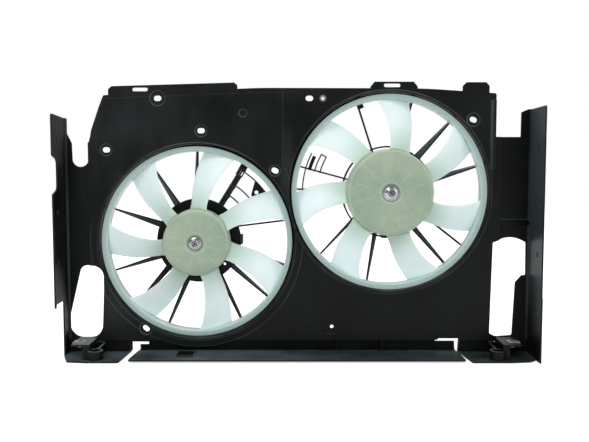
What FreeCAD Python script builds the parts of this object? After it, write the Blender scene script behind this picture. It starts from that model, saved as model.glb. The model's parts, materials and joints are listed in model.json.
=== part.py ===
import FreeCAD, Part
import os
from collections import namedtuple
from math import atan2, cos, degrees, hypot, pi, radians, sin, tan

os.makedirs("parts", exist_ok=True)

# Frame and sizes
# The origin is midway between the threads of the two lower clip nuts.
# +X runs along the module, +Y back towards the engine, +Z up. Sizes are millimetres.
nut_spacing = 680.0
wall = 2.5
plate_front = 30.0
flange_reach = 60.0
wing_setback = 6.0
band_setback = 12.0

# Plate edges
plate_top_left = 394.5
plate_top_middle = 406.0
plate_top_right = 397.5
plate_left = -305.5
plate_right = 316.5
left_step_x = -329.0
right_step_x = 323.5
ledge_z = 2.0
flange_bottom = -18.0
foot_bottom = -20.5
left_wall_x = -371.0
right_wall_x = 377.0
left_wall_top = 362.0
right_wall_top = 374.0

# Fans: place of each axis and sizes that differ from side to side
left_axis_x = -160.0
left_axis_z = 161.0
right_axis_x = 149.0
right_axis_z = 240.5
left_ring_r = 153.5
right_ring_r = 157.0
left_hub_r = 52.5
right_hub_r = 68.5
left_can_r = 38.0
right_can_r = 46.0
left_mount_r = 69.0
right_mount_r = 75.0

# Fans: shared sizes
blade_count = 7
ring_lip = 8.5
ring_wall = 2.0
ring_front = 35.0
ring_depth = 24.0
ring_running_gap = 3.0
hub_wall = 2.6
hub_edge_front = 15.5
hub_dome = 5.0
hub_depth = 30.0
hub_edge_round = 4.0
hub_draft = 1.2
recess_r = 11.5
recess_floor = 12.0
boss_r = 9.0
boss_back = 21.0
root_front = 21.0
root_back = 43.0
tip_front = 38.0
tip_back = 57.0
blade_edge = 1.4
blade_middle = 3.0

# Barrels, vanes and motor mounts of the shroud
barrel_back = 67.0
barrel_lip = 1.5
barrel_collar = 3.5
left_collar_r = 170.0
vane_front = 61.5
vane_depth = 7.0
vane_wall = 2.6
mount_thickness = 4.0
mount_bore_gap = 1.2
right_plate_width = 18.0

# Motors
shaft_r = 4.0
shaft_front = 1.5
running_gap = 0.03
seat_gap = 0.05
can_wall = 2.0
can_back = 100.0
end_plate_front = 25.0
end_plate_wall = 2.5
bush_r = 8.0
bush_length = 9.0
brush_gap = 0.3
bracket_wall = 2.5
ear_r = 7.0
screw_r = 2.5
screw_head_r = 5.0
screw_head_height = 4.0
screw_length = 12.0
magnet_wall = 5.5
air_gap = 0.8
core_front = 41.0
core_length = 32.0
end_turn_length = 6.0
commutator_r = 11.0
commutator_length = 9.0
brush_width = 6.0
card_wall = 3.0
nut_across = 13.0
nut_height = 6.0
nut_flange_r = 9.6
washer_wall = 1.2

# Fasteners of the shroud
thread_r = 3.0
thread_length = 4.0
clip_leaf = 1.0
clip_width = 16.0
clip_depth = 28.0
shelf_wall = 3.0
slot_length = 12.0
slot_width = 8.5
upper_slot_spacing = 240.0
upper_slot_z = 389.5
insert_r = 5.2
insert_bore_r = 2.3
locator_r = 8.5
locator_wall = 3.5
locator_spacing = 628.0
locator_y = -15.0
locator_top = -4.0

plate_back = plate_front + wall
front_y = plate_front - flange_reach
wing_front = plate_front + wing_setback
wing_back = wing_front + wall
band_front = plate_front + band_setback
band_back = band_front + wall
shelf_top = thread_length / 2 + clip_leaf + shelf_wall
hub_back = hub_edge_front + hub_depth
can_front = end_plate_front + end_plate_wall

Side = namedtuple("Side", "name x z ring_r hub_r can_r mount_r turn start ears connector")
left = Side("left", left_axis_x, left_axis_z, left_ring_r, left_hub_r, left_can_r, left_mount_r,
            -1, 74.9, -30.0, 0.0)
right = Side("right", right_axis_x, right_axis_z, right_ring_r, right_hub_r, right_can_r, right_mount_r,
             1, 88.5, 20.0, -90.0)

y_axis = FreeCAD.Vector(0, 1, 0)
z_axis = FreeCAD.Vector(0, 0, 1)


# Drawing helpers
def point(plane, u, v, depth):
    if plane == "front":
        return FreeCAD.Vector(u, depth, v)
    if plane == "side":
        return FreeCAD.Vector(depth, u, v)
    return FreeCAD.Vector(u, v, depth)


def rounded_wire(corners, plane, depth):
    """A closed outline of straight runs; a third number at a corner is the radius that rounds it."""
    stops = []
    for i, corner in enumerate(corners):
        here = FreeCAD.Vector(corner[0], corner[1], 0)
        radius = corner[2] if len(corner) > 2 else 0
        if not radius:
            stops.append((here, None, here))
            continue
        before = corners[i - 1]
        after = corners[(i + 1) % len(corners)]
        to_before = (FreeCAD.Vector(before[0], before[1], 0) - here).normalize()
        to_after = (FreeCAD.Vector(after[0], after[1], 0) - here).normalize()
        half = to_before.getAngle(to_after) / 2
        reach = radius / tan(half)
        middle = here + (to_before + to_after).normalize() * (radius / sin(half) - radius)
        stops.append((here + to_before * reach, middle, here + to_after * reach))
    edges = []
    for i, (start, middle, end) in enumerate(stops):
        if middle is not None:
            three = [point(plane, p.x, p.y, depth) for p in (start, middle, end)]
            edges.append(Part.Arc(*three).toShape())
        following = stops[(i + 1) % len(stops)][0]
        if (following - end).Length > 1e-6:
            ends = [point(plane, p.x, p.y, depth) for p in (end, following)]
            edges.append(Part.makeLine(*ends))
    return Part.Wire(edges)


def panel(corners, plane, start, end):
    """A flat piece between two depths across its plane."""
    face = Part.Face(rounded_wire(corners, plane, start))
    return face.extrude(point(plane, 0, 0, end - start))


def block(x0, x1, y0, y1, z0, z1):
    return Part.makeBox(x1 - x0, y1 - y0, z1 - z0, FreeCAD.Vector(x0, y0, z0))


def rod(x, z, radius, y0, y1):
    return Part.makeCylinder(radius, y1 - y0, FreeCAD.Vector(x, y0, z), y_axis)


def tube(x, z, outer, inner, y0, y1):
    return rod(x, z, outer, y0, y1).cut(rod(x, z, inner, y0 - 1, y1 + 1))


def post(x, y, radius, z0, z1):
    return Part.makeCylinder(radius, z1 - z0, FreeCAD.Vector(x, y, z0), z_axis)


def spun(x, z, corners):
    """A solid of revolution about a fan's axis, from an outline of radius and depth."""
    face = Part.Face(rounded_wire(corners, "top", 0))
    face.translate(FreeCAD.Vector(x, 0, z))
    return face.revolve(FreeCAD.Vector(x, 0, z), y_axis, 360)


def turned(shape, x, z, angle):
    """Turns anticlockwise as seen from the front."""
    copy = shape.copy()
    copy.rotate(FreeCAD.Vector(x, 0, z), FreeCAD.Vector(0, -1, 0), angle)
    return copy


def joined(shapes):
    """One solid from pieces that overlap, with flat faces merged."""
    return shapes[0].multiFuse(shapes[1:]).removeSplitter()


def slot_cutter(x, z, length, width, angle, y0, y1):
    half, high = length / 2, width / 2
    corners = [(x - half, z - high, high), (x + half, z - high, high),
               (x + half, z + high, high), (x - half, z + high, high)]
    return turned(panel(corners, "front", y0, y1), x, z, angle)


def save(name, shape):
    solids = shape.Solids
    for solid in solids:
        if not solid.isValid():
            print("not valid:", name)
    kept = solids[0] if len(solids) == 1 else Part.makeCompound(solids)
    kept.exportStep(f"parts/{name}.step")
    print(f"{name}: {len(solids)} solids, {kept.Volume:.0f} mm3")


# Shroud: front plate, wings and bottom band
def main_plate():
    corners = [
        (left_step_x, ledge_z), (right_step_x, ledge_z),
        (right_step_x, 329.0), (plate_right, 329.0, 1.5),
        (plate_right, plate_top_right, 3), (200, plate_top_middle - 0.8, 900),
        (-60, plate_top_middle, 900), (plate_left, plate_top_left, 3),
        (-313.0, 376.0, 8), (-326.0, 338.6, 3), (-327.5, 329.0), (left_step_x, 325.0),
    ]
    plate = panel(corners, "front", plate_front, plate_back)
    collar = rod(left.x, left.z, left_collar_r, plate_front, plate_back)
    plate = plate.fuse(collar).removeSplitter()
    for side in (left, right):
        plate = plate.cut(rod(side.x, side.z, barrel_r(side) + wall / 2, plate_front - 1, plate_back + 1))
    return plate


def left_wing():
    inner = left_wall_x + wall
    corners = [
        (left_wall_x, foot_bottom), (left_step_x, foot_bottom), (left_step_x, 325.0),
        (-332.1, 320.8, 2), (-332.1, 281.5, 12.7), (-357.8, 281.5, 12.7), (-358.8, 319.2, 8),
        (inner + 2, 335.0, 8), (inner + 2, left_wall_top - 3, 2), (left_wall_x, left_wall_top - 3),
    ]
    plate = panel(corners, "front", wing_front, wing_back)
    step = block(left_step_x - wall, left_step_x, plate_front, wing_back, ledge_z, 320.0)
    return [plate, step]


def right_wing():
    corners = [
        (right_wall_x, foot_bottom), (right_wall_x, right_wall_top - 1), (369.6, 373.0, 3),
        (358.2, 368.3, 3), (358.0, 329.0, 1.5), (right_step_x, 329.0), (right_step_x, foot_bottom),
    ]
    plate = panel(corners, "front", wing_front, wing_back)
    step = block(right_step_x, right_step_x + wall, plate_front, wing_back, ledge_z, 329.0)
    return [plate, step]


def side_walls():
    """Each wing's wall, perpendicular to the plate, with the cut-outs of its front edge."""
    back = wing_back
    left_edge = [
        (back, foot_bottom), (12.0, foot_bottom), (12.0, 70.0, 4), (front_y + 5, 70.0, 2),
        (front_y + 3, 64.5), (front_y, 64.5), (front_y, 239.8, 3), (-8.0, 247.0, 8),
        (-8.0, 292.0, 10), (front_y, 299.0, 3), (front_y, left_wall_top, 4), (back, left_wall_top - 4),
    ]
    right_edge = [
        (back, foot_bottom), (front_y - 2, foot_bottom), (front_y - 2, 79.0, 2), (front_y, 83.0),
        (front_y, right_wall_top, 3), (back, right_wall_top - 1),
    ]
    left_wall = panel(left_edge, "side", left_wall_x, left_wall_x + wall)
    right_wall = panel(right_edge, "side", right_wall_x - wall, right_wall_x)
    for z in (324.0, 212.0, 134.0):
        left_wall = left_wall.cut(side_hole(left_wall_x, -10.0, z))
    for z in (308.0, 222.0, 145.0, 62.0):
        right_wall = right_wall.cut(side_hole(right_wall_x, -8.0, z))
    return [left_wall, right_wall]


def side_hole(x, y, z):
    base = FreeCAD.Vector(x - 2 * wall, y, z)
    return Part.makeCylinder(4.0, 4 * wall, base, FreeCAD.Vector(1, 0, 0))


def bottom_band():
    """The band set back below the ledge, the ledge itself and the flange that reaches forward."""
    band = block(left_step_x, right_step_x, band_front, band_back, flange_bottom, ledge_z)
    ledge = block(left_step_x, right_step_x, plate_front, band_back, ledge_z, ledge_z + wall)
    flange = panel([(-260.5, front_y, 3), (262.0, front_y, 3), (259.0, band_back), (-255.0, band_back)],
                   "top", flange_bottom, flange_bottom + wall)
    rib_top = ledge_z
    ribs = [block(x - 1, x + 1, plate_front + 4, band_front + 1, flange_bottom + 1, rib_top)
            for x in (67.0, 139.0)]
    return [band, ledge, flange] + ribs


def corner_foot(mirror):
    """The lower corner: floor, shelf for the clip nut and locating socket."""
    outer = -left_wall_x if mirror < 0 else right_wall_x
    inner_back = 270.0 if mirror < 0 else 262.5
    inner_front = 275.0 if mirror < 0 else 272.0
    reach = 12.0 if mirror < 0 else front_y + 18
    floor = [
        (mirror * outer, wing_back), (mirror * outer, reach, 6), (mirror * (outer - 15), front_y + 4, 6),
        (mirror * (outer - 45), front_y, 6), (mirror * inner_front, front_y, 4),
        (mirror * inner_back, band_back),
    ]
    nut_x = mirror * nut_spacing / 2
    locator_x = mirror * locator_spacing / 2
    shelf_x0, shelf_x1 = sorted((nut_x - mirror * 18.0, nut_x + mirror * 10.0))
    side_x0, side_x1 = sorted((nut_x - mirror * 18.0, nut_x - mirror * (18.0 - wall)))
    floor_top = foot_bottom + wall
    shelf = block(shelf_x0, shelf_x1, -20.0, wing_back, shelf_top - shelf_wall, shelf_top)
    side = block(side_x0, side_x1, -20.0, wing_back, foot_bottom, shelf_top)
    front = block(side_x0, side_x0 + 4 * wall, -20.0, -20.0 + wall, foot_bottom, shelf_top)
    if mirror < 0:
        front = block(side_x1 - 4 * wall, side_x1, -20.0, -20.0 + wall, foot_bottom, shelf_top)
    socket = post(locator_x, locator_y, locator_r + locator_wall, foot_bottom, locator_top)
    tie = block(min(locator_x, locator_x - mirror * 2), max(locator_x, locator_x - mirror * 2) + 2,
                locator_y + locator_r + 1, wing_back, foot_bottom, locator_top)
    back = block(min(mirror * outer, mirror * inner_back), max(mirror * outer, mirror * inner_back),
                 wing_front, wing_back, foot_bottom, ledge_z + 2)
    body = [panel(floor, "top", foot_bottom, floor_top), shelf, side, front, socket, tie, back]
    hole = post(locator_x, locator_y, locator_r, foot_bottom - 1, locator_top + 1)
    bolt = post(nut_x, 0, thread_r + 1.0, shelf_top - shelf_wall - 1, shelf_top + 1)
    return body, [hole, bolt]


# Shroud: top tabs, bosses and relief
def top_tabs():
    tab_slot = 2.8
    first = [(-297.7, 390.0), (-93.3, 390.0), (-93.3, 410.0), (-98.0, 414.3), (-292.0, 408.6), (-297.7, 404.0)]
    second = [(117.0, 395.0), (191.7, 395.0), (191.7, 408.0), (185.5, 415.6), (123.5, 415.6), (117.0, 408.0)]
    third = [(263.0, 395.0), (305.2, 395.0), (305.2, 409.0), (300.0, 414.8), (269.0, 414.8), (263.0, 409.0)]
    tabs = [panel(c, "front", plate_front, plate_back) for c in (first, second, third)]
    slots = [slot_cutter(-247.0, 406.2 - tab_slot, 24.5, 2 * tab_slot, 0, plate_front - 1, plate_back + 1),
             slot_cutter(151.3, 409.8, 26.0, 2 * tab_slot, 0, plate_front - 1, plate_back + 1)]
    return tabs, slots


def slot_places():
    """Centre, tilt and boss radius of each slotted hole in the plate."""
    middle = (-219.5 + 20.5) / 2
    return [
        (middle - upper_slot_spacing / 2, upper_slot_z, 0, 12.5),
        (middle + upper_slot_spacing / 2, upper_slot_z, 0, 0),
        (-302.0, 308.4, 0, 10.0), (-151.3, 338.6, 0, 10.0), (-34.0, 275.5, -25, 9.5),
        (280.4, 355.9, -20, 11.0), (-242.7, 21.1, -40, 11.0),
    ]


def boss_rims():
    rims = [tube(x, z, r, r - 1.4, plate_front - 1.2, plate_front + 0.5)
            for x, z, tilt, r in slot_places() if r]
    rims.append(rod(-84.7, 366.3, 6.9, plate_front - 1.5, plate_front + 0.5))
    rims.append(rod(41.9, upper_slot_z, insert_r + 2.5, plate_front - 1.5, plate_back + 6))
    return rims


def plate_holes():
    through = [slot_cutter(x, z, slot_length, slot_width, tilt, plate_front - 3, plate_back + 3)
               for x, z, tilt, r in slot_places()]
    through.append(rod(57.2, 23.9, 2.9, plate_front - 3, plate_back + 3))
    through.append(rod(41.9, upper_slot_z, insert_r + seat_gap, plate_front - 3, plate_back + 8))
    left_window = [(-347.0, 122.8, 12), (-310.0, 122.8, 18), (-310.0, 84.0), (-313.5, 5.5, 22),
                   (-366.0, 5.5, 22), (-368.0, 36.0, 8)]
    right_window = [(315.1, 160.1, 2), (345.7, 172.0, 40), (369.5, 160.1, 3), (370.1, 106.7, 2),
                    (364.0, 106.7, 2), (353.8, 95.1, 2), (350.0, 8.5, 3), (325.0, 6.5, 8),
                    (311.8, 12.5, 4)]
    through += [panel(c, "front", plate_front - 2, wing_back + 2) for c in (left_window, right_window)]
    through.append(panel([(-268.0, flange_bottom - 5), (-255.0, flange_bottom - 5), (-255.0, -8.1),
                          (-241.0, -8.1), (-241.0, -3.7), (-268.0, -3.7)], "front", plate_front, band_back + 2))
    through.append(panel([(226.5, -2.5), (258.0, -2.5), (259.0, foot_bottom - 2), (263.0, foot_bottom - 2),
                          (264.6, 2.0, 3), (262.0, 4.4, 3), (229.0, 4.4, 3)], "front",
                         plate_front - 2, band_back + 2))
    for x in (-318.5, 318.5):
        through.append(block(x - 6.2, x + 6.2, wing_front - 1, band_back + 1, -3.5, -1.5))
    return through


def border_rib():
    """The stepped line that follows the plate's edge."""
    high = 0.9
    edge = [(-318.5, 282.0), (-317.0, 282.0), (-317.0, 357.0), (-303.5, 388.0), (-60, 398.0, 900),
            (-20.0, 398.0), (-20.0, 399.5), (-60, 399.5, 900), (-304.5, 389.5), (-318.5, 357.5)]
    return panel(edge, "front", plate_front - high, plate_front + 0.5)


# Shroud: barrels, vanes and motor mounts
def barrel_r(side):
    return side.ring_r + ring_running_gap


def barrel(side):
    r = barrel_r(side)
    lip_front = plate_front - barrel_lip
    corners = [
        (r, barrel_back), (r, lip_front + barrel_lip), (r + barrel_lip, lip_front),
        (r + barrel_collar - barrel_lip, lip_front), (r + barrel_collar, plate_front + wall / 2),
        (r + wall, plate_back), (r + wall, barrel_back),
    ]
    return spun(side.x, side.z, corners)


def vane(side, outer_angle, inner_angle, inner_width, outer_width, inner_r):
    """A twisted fin: seen from the front it widens towards the motor."""
    outer_r = barrel_r(side) + wall / 2
    sections = []
    for radius, angle, width in ((inner_r, inner_angle, inner_width), (outer_r, outer_angle, outer_width)):
        a = radians(angle)
        along = FreeCAD.Vector(cos(a), 0, sin(a))
        across = FreeCAD.Vector(-sin(a), 0, cos(a))
        centre = FreeCAD.Vector(side.x, 0, side.z) + along * radius
        half = width / 2
        thick = min(vane_wall, width)
        quad = [(-half, vane_front), (-half + thick, vane_front),
                (half, vane_front + vane_depth), (half - thick, vane_front + vane_depth)]
        if width <= vane_wall:
            quad = [(-half, vane_front), (half, vane_front),
                    (half, vane_front + vane_depth), (-half, vane_front + vane_depth)]
        points = [centre + across * t + y_axis * y for t, y in quad]
        sections.append(Part.makePolygon(points + points[:1]))
    return Part.makeLoft(sections, True, True)


def arc_bar(side, radius, start, end, width, depth=5.0):
    """A bar that follows an arc about the fan's axis, between two angles."""
    a, b = radians(start), radians(end)
    middle = (a + b) / 2
    inner, outer = radius - width / 2, radius + width / 2
    y = vane_front
    edges = [
        Part.Arc(*[FreeCAD.Vector(side.x + outer * cos(t), y, side.z + outer * sin(t))
                   for t in (a, middle, b)]).toShape(),
        Part.Arc(*[FreeCAD.Vector(side.x + inner * cos(t), y, side.z + inner * sin(t))
                   for t in (b, middle, a)]).toShape(),
    ]
    for t in (a, b):
        edges.append(Part.makeLine(*[FreeCAD.Vector(side.x + r * cos(t), y, side.z + r * sin(t))
                                     for r in (inner, outer)]))
    wire = Part.Wire(Part.__sortEdges__(edges))
    return Part.Face(wire).extrude(FreeCAD.Vector(0, depth, 0))


def left_vanes():
    inner = mount_plate_r(left) - 2
    fins = [(90.5, 93.5, 10, 4.5), (122.0, 121.0, 12, 3), (159.8, 157.3, 12, 3), (199.6, 203.0, 9, 3),
            (226.0, 221.5, 10, 3), (249.5, 253.5, 8, 3.5), (297.5, 301.0, 7, 3.5), (320.2, 322.0, 8, 3),
            (343.5, 347.0, 5, 4.0), (12.5, 20.0, 2.6, 2.6)]
    made = [vane(left, outer, root, w_in, w_out, inner) for outer, root, w_in, w_out in fins]
    tray = vane(left, 57.8, 58.0, 2.6, 2.6, inner)
    rails = [arc_bar(left, r, 58.0, stop, 2.0) for r, stop in ((134.5, 30.0), (108.0, 38.0), (89.0, 40.0))]
    sides = [vane(left, 30.0, 44.0, 2.6, 2.6, inner)]
    ears = [turned(block(left.x + 134.0, left.x + 146.0, vane_front, vane_front + 4, left.z - 5, left.z + 7),
                   left.x, left.z, 58.0)]
    tab = [(-67.5, 259.5, 2), (-46.5, 235.0, 2), (-75.5, 231.0, 4)]
    plate = panel(tab, "front", vane_front, vane_front + 3)
    hole = rod(-65.4, 239.5, 3.2, vane_front - 1, vane_front + 4)
    return made + [tray] + rails + sides + ears + [plate.cut(hole)]


def right_vanes():
    inner = mount_plate_r(right) - 1
    fins = [(48.4, 50.0, 12, 3), (16.2, 15.0, 11, 3.5), (75.2, 77.0, 6, 4), (223.4, 218.0, 7, 3.5),
            (257.8, 253.0, 9, 4), (-50.9, -54.0, 10, 4.5), (-35.7, -32.0, 4, 4)]
    made = [vane(right, outer, root, w_in, w_out, inner) for outer, root, w_in, w_out in fins]
    made += [vane(right, 109.2, 111.0, 2.6, 2.6, inner), vane(right, 163.9, 162.5, 2.6, 2.6, inner)]
    rails = [(152.0, 153.0, 164.5, 2.0), (139.0, 153.0, 178.5, 2.0), (132.5, 154.0, 164.5, 5.5),
             (124.0, 151.0, 164.5, 2.0), (115.0, 150.0, 164.5, 2.0)]
    made += [arc_bar(right, r, a, b, w) for r, a, b, w in rails]
    made.append(vane(right, 178.3, 178.3, 2.6, 2.6, inner))
    cap = turned(block(right.x + 114.0, right.x + 125.0, vane_front, vane_front + 5, right.z - 1, right.z + 1),
                 right.x, right.z, 150.5)
    pad = turned(block(right.x + 142.0, right.x + 152.0, vane_front, vane_front + 4, right.z - 10, right.z),
                 right.x, right.z, 110.0)
    made += [cap, pad]
    return made


def mount_plate_r(side):
    """The left motor's plate shows round the hub; the right one has a thin outer ring instead."""
    return side.mount_r if side is left else side.can_r + right_plate_width


def motor_mount(side):
    outer = mount_plate_r(side)
    bore = side.can_r + mount_bore_gap
    ring = tube(side.x, side.z, outer, bore, vane_front, vane_front + mount_thickness)
    collar = tube(side.x, side.z, bore + wall, bore, vane_front, vane_front + mount_thickness + 1)
    extra = []
    if side is right:
        extra = [tube(side.x, side.z, side.mount_r, side.mount_r - 2.6, vane_front, vane_front + vane_depth)]
    return [ring, collar] + extra


def screw_places(side):
    radius = side.can_r + 9.0
    for i in range(3):
        a = radians(90 + side.ears + 120 * i)
        yield side.x + radius * cos(a), side.z + radius * sin(a)


def make_shroud():
    body = [main_plate(), border_rib()] + left_wing() + right_wing() + side_walls() + bottom_band()
    cutters = plate_holes()
    for mirror in (-1, 1):
        pieces, holes = corner_foot(mirror)
        body += pieces
        cutters += holes
    tabs, slots = top_tabs()
    body += tabs + boss_rims()
    cutters += slots
    for side in (left, right):
        body += [barrel(side)] + motor_mount(side)
    body += left_vanes() + right_vanes()
    cutters += [rod(s.x, s.z, barrel_r(s), plate_front - 5, vane_front - 1) for s in (left, right)]
    cutters += [rod(x, z, screw_r - 0.3, vane_front - 1, vane_front + vane_depth + 2)
                for s in (left, right) for x, z in screw_places(s)]
    cutters.append(turned(rod(left.x + 57.5, left.z, 2.2, vane_front - 1, vane_front + 9), left.x, left.z, -43))
    shroud = joined(body)
    for cutter in cutters:
        shroud = shroud.cut(cutter)
    return shroud


# Fans
def blade(side):
    """One blade pointing up: sections from inside the hub wall to inside the ring wall, swept at the tip."""
    hub, tip = side.hub_r, side.ring_r - ring_lip + ring_wall / 2
    stations = [(-0.1, 12.5, 26.0), (0.0, 12.0, 26.0), (0.33, 9.0, 23.0), (0.6, 6.0, 21.5),
                (0.85, 2.5, 20.8), (1.0, 0.0, 21.0), (1.08, -1.0, 21.2)]
    wires = []
    for share, sweep, width in stations:
        radius = hub + share * (tip - hub)
        depth = min(max(share, 0.0), 1.0)
        front = root_front + depth * (tip_front - root_front)
        back = root_back + depth * (tip_back - root_back)
        a = radians(90 - side.turn * sweep)
        along = FreeCAD.Vector(cos(a), 0, sin(a))
        across = FreeCAD.Vector(-sin(a), 0, cos(a)) * side.turn
        half = radius * sin(radians(width) / 2)
        camber = 0.08 * half
        centre = FreeCAD.Vector(side.x, 0, side.z) + along * radius

        def at(t, y):
            return centre + across * t + y_axis * y

        middle = (front + back) / 2
        lead, trail = at(half, front), at(-half, back)
        lead_back, trail_back = at(half, front + blade_edge), at(-half, back + blade_edge)
        upper = Part.Arc(lead, at(0, middle - camber), trail).toShape()
        lower = Part.Arc(trail_back, at(0, middle - camber + blade_middle), lead_back).toShape()
        wires.append(Part.Wire([upper, Part.makeLine(trail, trail_back), lower, Part.makeLine(lead_back, lead)]))
    loft = Part.makeLoft(wires, True, False)
    keep = tube(side.x, side.z, tip, hub - hub_wall / 2, root_front - 8, tip_back + 8)
    return loft.common(keep)


def make_fan(side):
    """Hub cup, seven blades and the ring that ties their tips, all one moulding."""
    r, back = side.hub_r, hub_back
    face = hub_edge_front - hub_dome
    inner = r - hub_wall
    hub = spun(side.x, side.z, [
        (shaft_r, recess_floor), (recess_r, recess_floor), (recess_r, face + 0.8), (recess_r + 0.8, face),
        (r - 0.5, hub_edge_front, hub_edge_round), (r + hub_draft, back), (inner + hub_draft, back),
        (inner - 0.5, hub_edge_front + hub_wall), (recess_r + hub_wall, face + hub_wall + 1.6),
        (boss_r, recess_floor + hub_wall), (boss_r, boss_back), (shaft_r, boss_back),
    ])
    wall_out = side.ring_r - ring_lip + ring_wall
    ring = spun(side.x, side.z, [
        (wall_out - ring_wall, ring_front + 1.6), (wall_out - ring_wall + 1.2, ring_front),
        (side.ring_r, ring_front - 0.5),
        (side.ring_r, ring_front + ring_wall - 0.5), (wall_out, ring_front + ring_wall + 2.5),
        (wall_out, ring_front + ring_depth), (wall_out - ring_wall, ring_front + ring_depth),
    ])
    one = blade(side)
    blades = [turned(one, side.x, side.z, side.start - 90 + 360 * i / blade_count) for i in range(blade_count)]
    ribs = [turned(block(side.x + boss_r - 1, side.x + inner, recess_floor + hub_wall + 1, hub_edge_front + 6,
                         side.z - 0.9, side.z + 0.9), side.x, side.z, 360 * i / 12 + 15) for i in range(12)]
    core = spun(side.x, side.z, [(boss_r - 2, face + hub_wall - 1), (inner, hub_edge_front + hub_wall - 1),
                                 (inner, hub_edge_front + 12), (boss_r - 2, hub_edge_front + 4)])
    ribs = [rib.common(core) for rib in ribs]
    fan = hub.multiFuse(blades + [ring] + ribs)
    return fan.cut(rod(side.x, side.z, shaft_r + seat_gap, 0, boss_back + 1))


def make_nut(side):
    seat = recess_floor - washer_wall
    hexagon = Part.makePolygon([FreeCAD.Vector(side.x + nut_across / 3 ** 0.5 * cos(pi * i / 3), seat - nut_height,
                                               side.z + nut_across / 3 ** 0.5 * sin(pi * i / 3))
                                for i in range(7)])
    body = Part.Face(hexagon).extrude(FreeCAD.Vector(0, nut_height, 0))
    flange = spun(side.x, side.z, [(0, seat), (nut_flange_r, seat), (nut_flange_r, seat - 1.2),
                                   (nut_across / 2, seat - 2.6), (0, seat - 2.6)])
    return body.fuse(flange).cut(rod(side.x, side.z, shaft_r - 0.5 + seat_gap, 0, recess_floor))


def make_shaft(side):
    """Plain journal with a thinner threaded nose for the nut."""
    nose = shaft_r - 0.5
    return spun(side.x, side.z, [(0, shaft_front), (nose, shaft_front), (nose, recess_floor), (shaft_r, recess_floor),
                                 (shaft_r, can_back + 2), (0, can_back + 2)])


# Motors
def motor_levels(side):
    """Depths of the parts along the motor."""
    core_back = core_front + core_length
    brush_y = can_back - can_wall - bush_length - commutator_length / 2
    return core_back, brush_y


def make_can(side):
    r, inner = side.can_r, side.can_r - can_wall
    seat = bush_r + seat_gap
    nose = can_back + 3
    return spun(side.x, side.z, [
        (inner, can_front), (r, can_front), (r, can_back, 5), (seat + 6, can_back), (seat + 4, nose),
        (shaft_r + 3, nose), (shaft_r + 3, nose - can_wall), (seat, nose - can_wall),
        (seat, nose - can_wall - bush_length), (seat + 2, nose - can_wall - bush_length),
        (seat + 3, can_back - can_wall), (inner, can_back - can_wall),
    ])


def make_end_plate(side):
    r = side.can_r
    seat = bush_r + seat_gap
    front = end_plate_front
    return spun(side.x, side.z, [
        (shaft_r + 2, front - 2), (seat + 4, front - 2), (seat + 6, front), (r, front), (r, can_front),
        (seat + 2, can_front), (seat + 2, front - 2 + can_wall + bush_length),
        (seat, front - 2 + can_wall + bush_length), (seat, front - 2 + can_wall), (shaft_r + 2, front - 2 + can_wall),
    ])


def bush_span(end):
    front = end_plate_front - 2 + can_wall + seat_gap
    back = can_back + 3 - can_wall - seat_gap
    return (front, front + bush_length) if end == "front" else (back - bush_length, back)


def make_bush(side, end):
    y0, y1 = bush_span(end)
    return tube(side.x, side.z, bush_r, shaft_r + running_gap, y0, y1)


def bracket_front():
    return vane_front + mount_thickness + 1


def make_bracket(side):
    """The pressed ring on the can, with an ear for each screw."""
    y0 = bracket_front()
    ring = rod(side.x, side.z, side.can_r + 4, y0, y0 + bracket_wall)
    pieces = [ring]
    for x, z in screw_places(side):
        a = degrees(atan2(z - side.z, x - side.x))
        reach = hypot(x - side.x, z - side.z)
        arm = block(side.x, side.x + reach, y0, y0 + bracket_wall, side.z - ear_r, side.z + ear_r)
        pieces += [turned(arm, side.x, side.z, a), rod(x, z, ear_r, y0, y0 + bracket_wall)]
    bracket = joined(pieces).cut(rod(side.x, side.z, side.can_r + seat_gap, y0 - 1, y0 + 5))
    for x, z in screw_places(side):
        bracket = bracket.cut(rod(x, z, screw_r + 0.4, y0 - 1, y0 + 5))
    return bracket


def make_screws(side):
    under = bracket_front() + bracket_wall
    made = []
    for x, z in screw_places(side):
        head = rod(x, z, screw_head_r, under, under + screw_head_height)
        socket = [turned(block(x - 2.4, x + 2.4, under + 2, under + 5, z - 0.6, z + 0.6), x, z, 90 * k) for k in (0, 1)]
        shank = rod(x, z, screw_r - 0.35, under - screw_length + 3, under + 1)
        made.append(head.fuse(shank).cut(Part.makeCompound(socket)))
    return Part.makeCompound(made)


def make_magnets(side):
    outer = side.can_r - can_wall - seat_gap
    inner = outer - magnet_wall
    y0, y1 = core_front - 1, core_front + core_length + 1
    ring = tube(side.x, side.z, outer, inner, y0, y1)
    gap = block(side.x - 8, side.x + 8, y0 - 1, y1 + 1, side.z - outer - 1, side.z + outer + 1)
    return ring.cut(turned(gap, side.x, side.z, 0))


def core_r(side):
    return side.can_r - can_wall - seat_gap - magnet_wall - air_gap


def make_core(side):
    """Laminated core with winding slots along it."""
    r = core_r(side)
    y0, y1 = core_front, core_front + core_length
    core = tube(side.x, side.z, r, shaft_r + seat_gap, y0, y1)
    count = 12
    slot = block(side.x + r * 0.55, side.x + r + 1, y0 - 1, y1 + 1, side.z - r * 0.07, side.z + r * 0.07)
    return core.cut(Part.makeCompound([turned(slot, side.x, side.z, 360 * i / count) for i in range(count)]))


def make_windings(side):
    r = core_r(side)
    y0, y1 = core_front, core_front + core_length
    ends = []
    for a, b in ((y0 - end_turn_length, y0), (y1, y1 + end_turn_length)):
        ends.append(spun(side.x, side.z, [(r * 0.35, a), (r * 0.86, a), (r * 0.86, b), (r * 0.35, b)]))
    return Part.makeCompound(ends)


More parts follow.
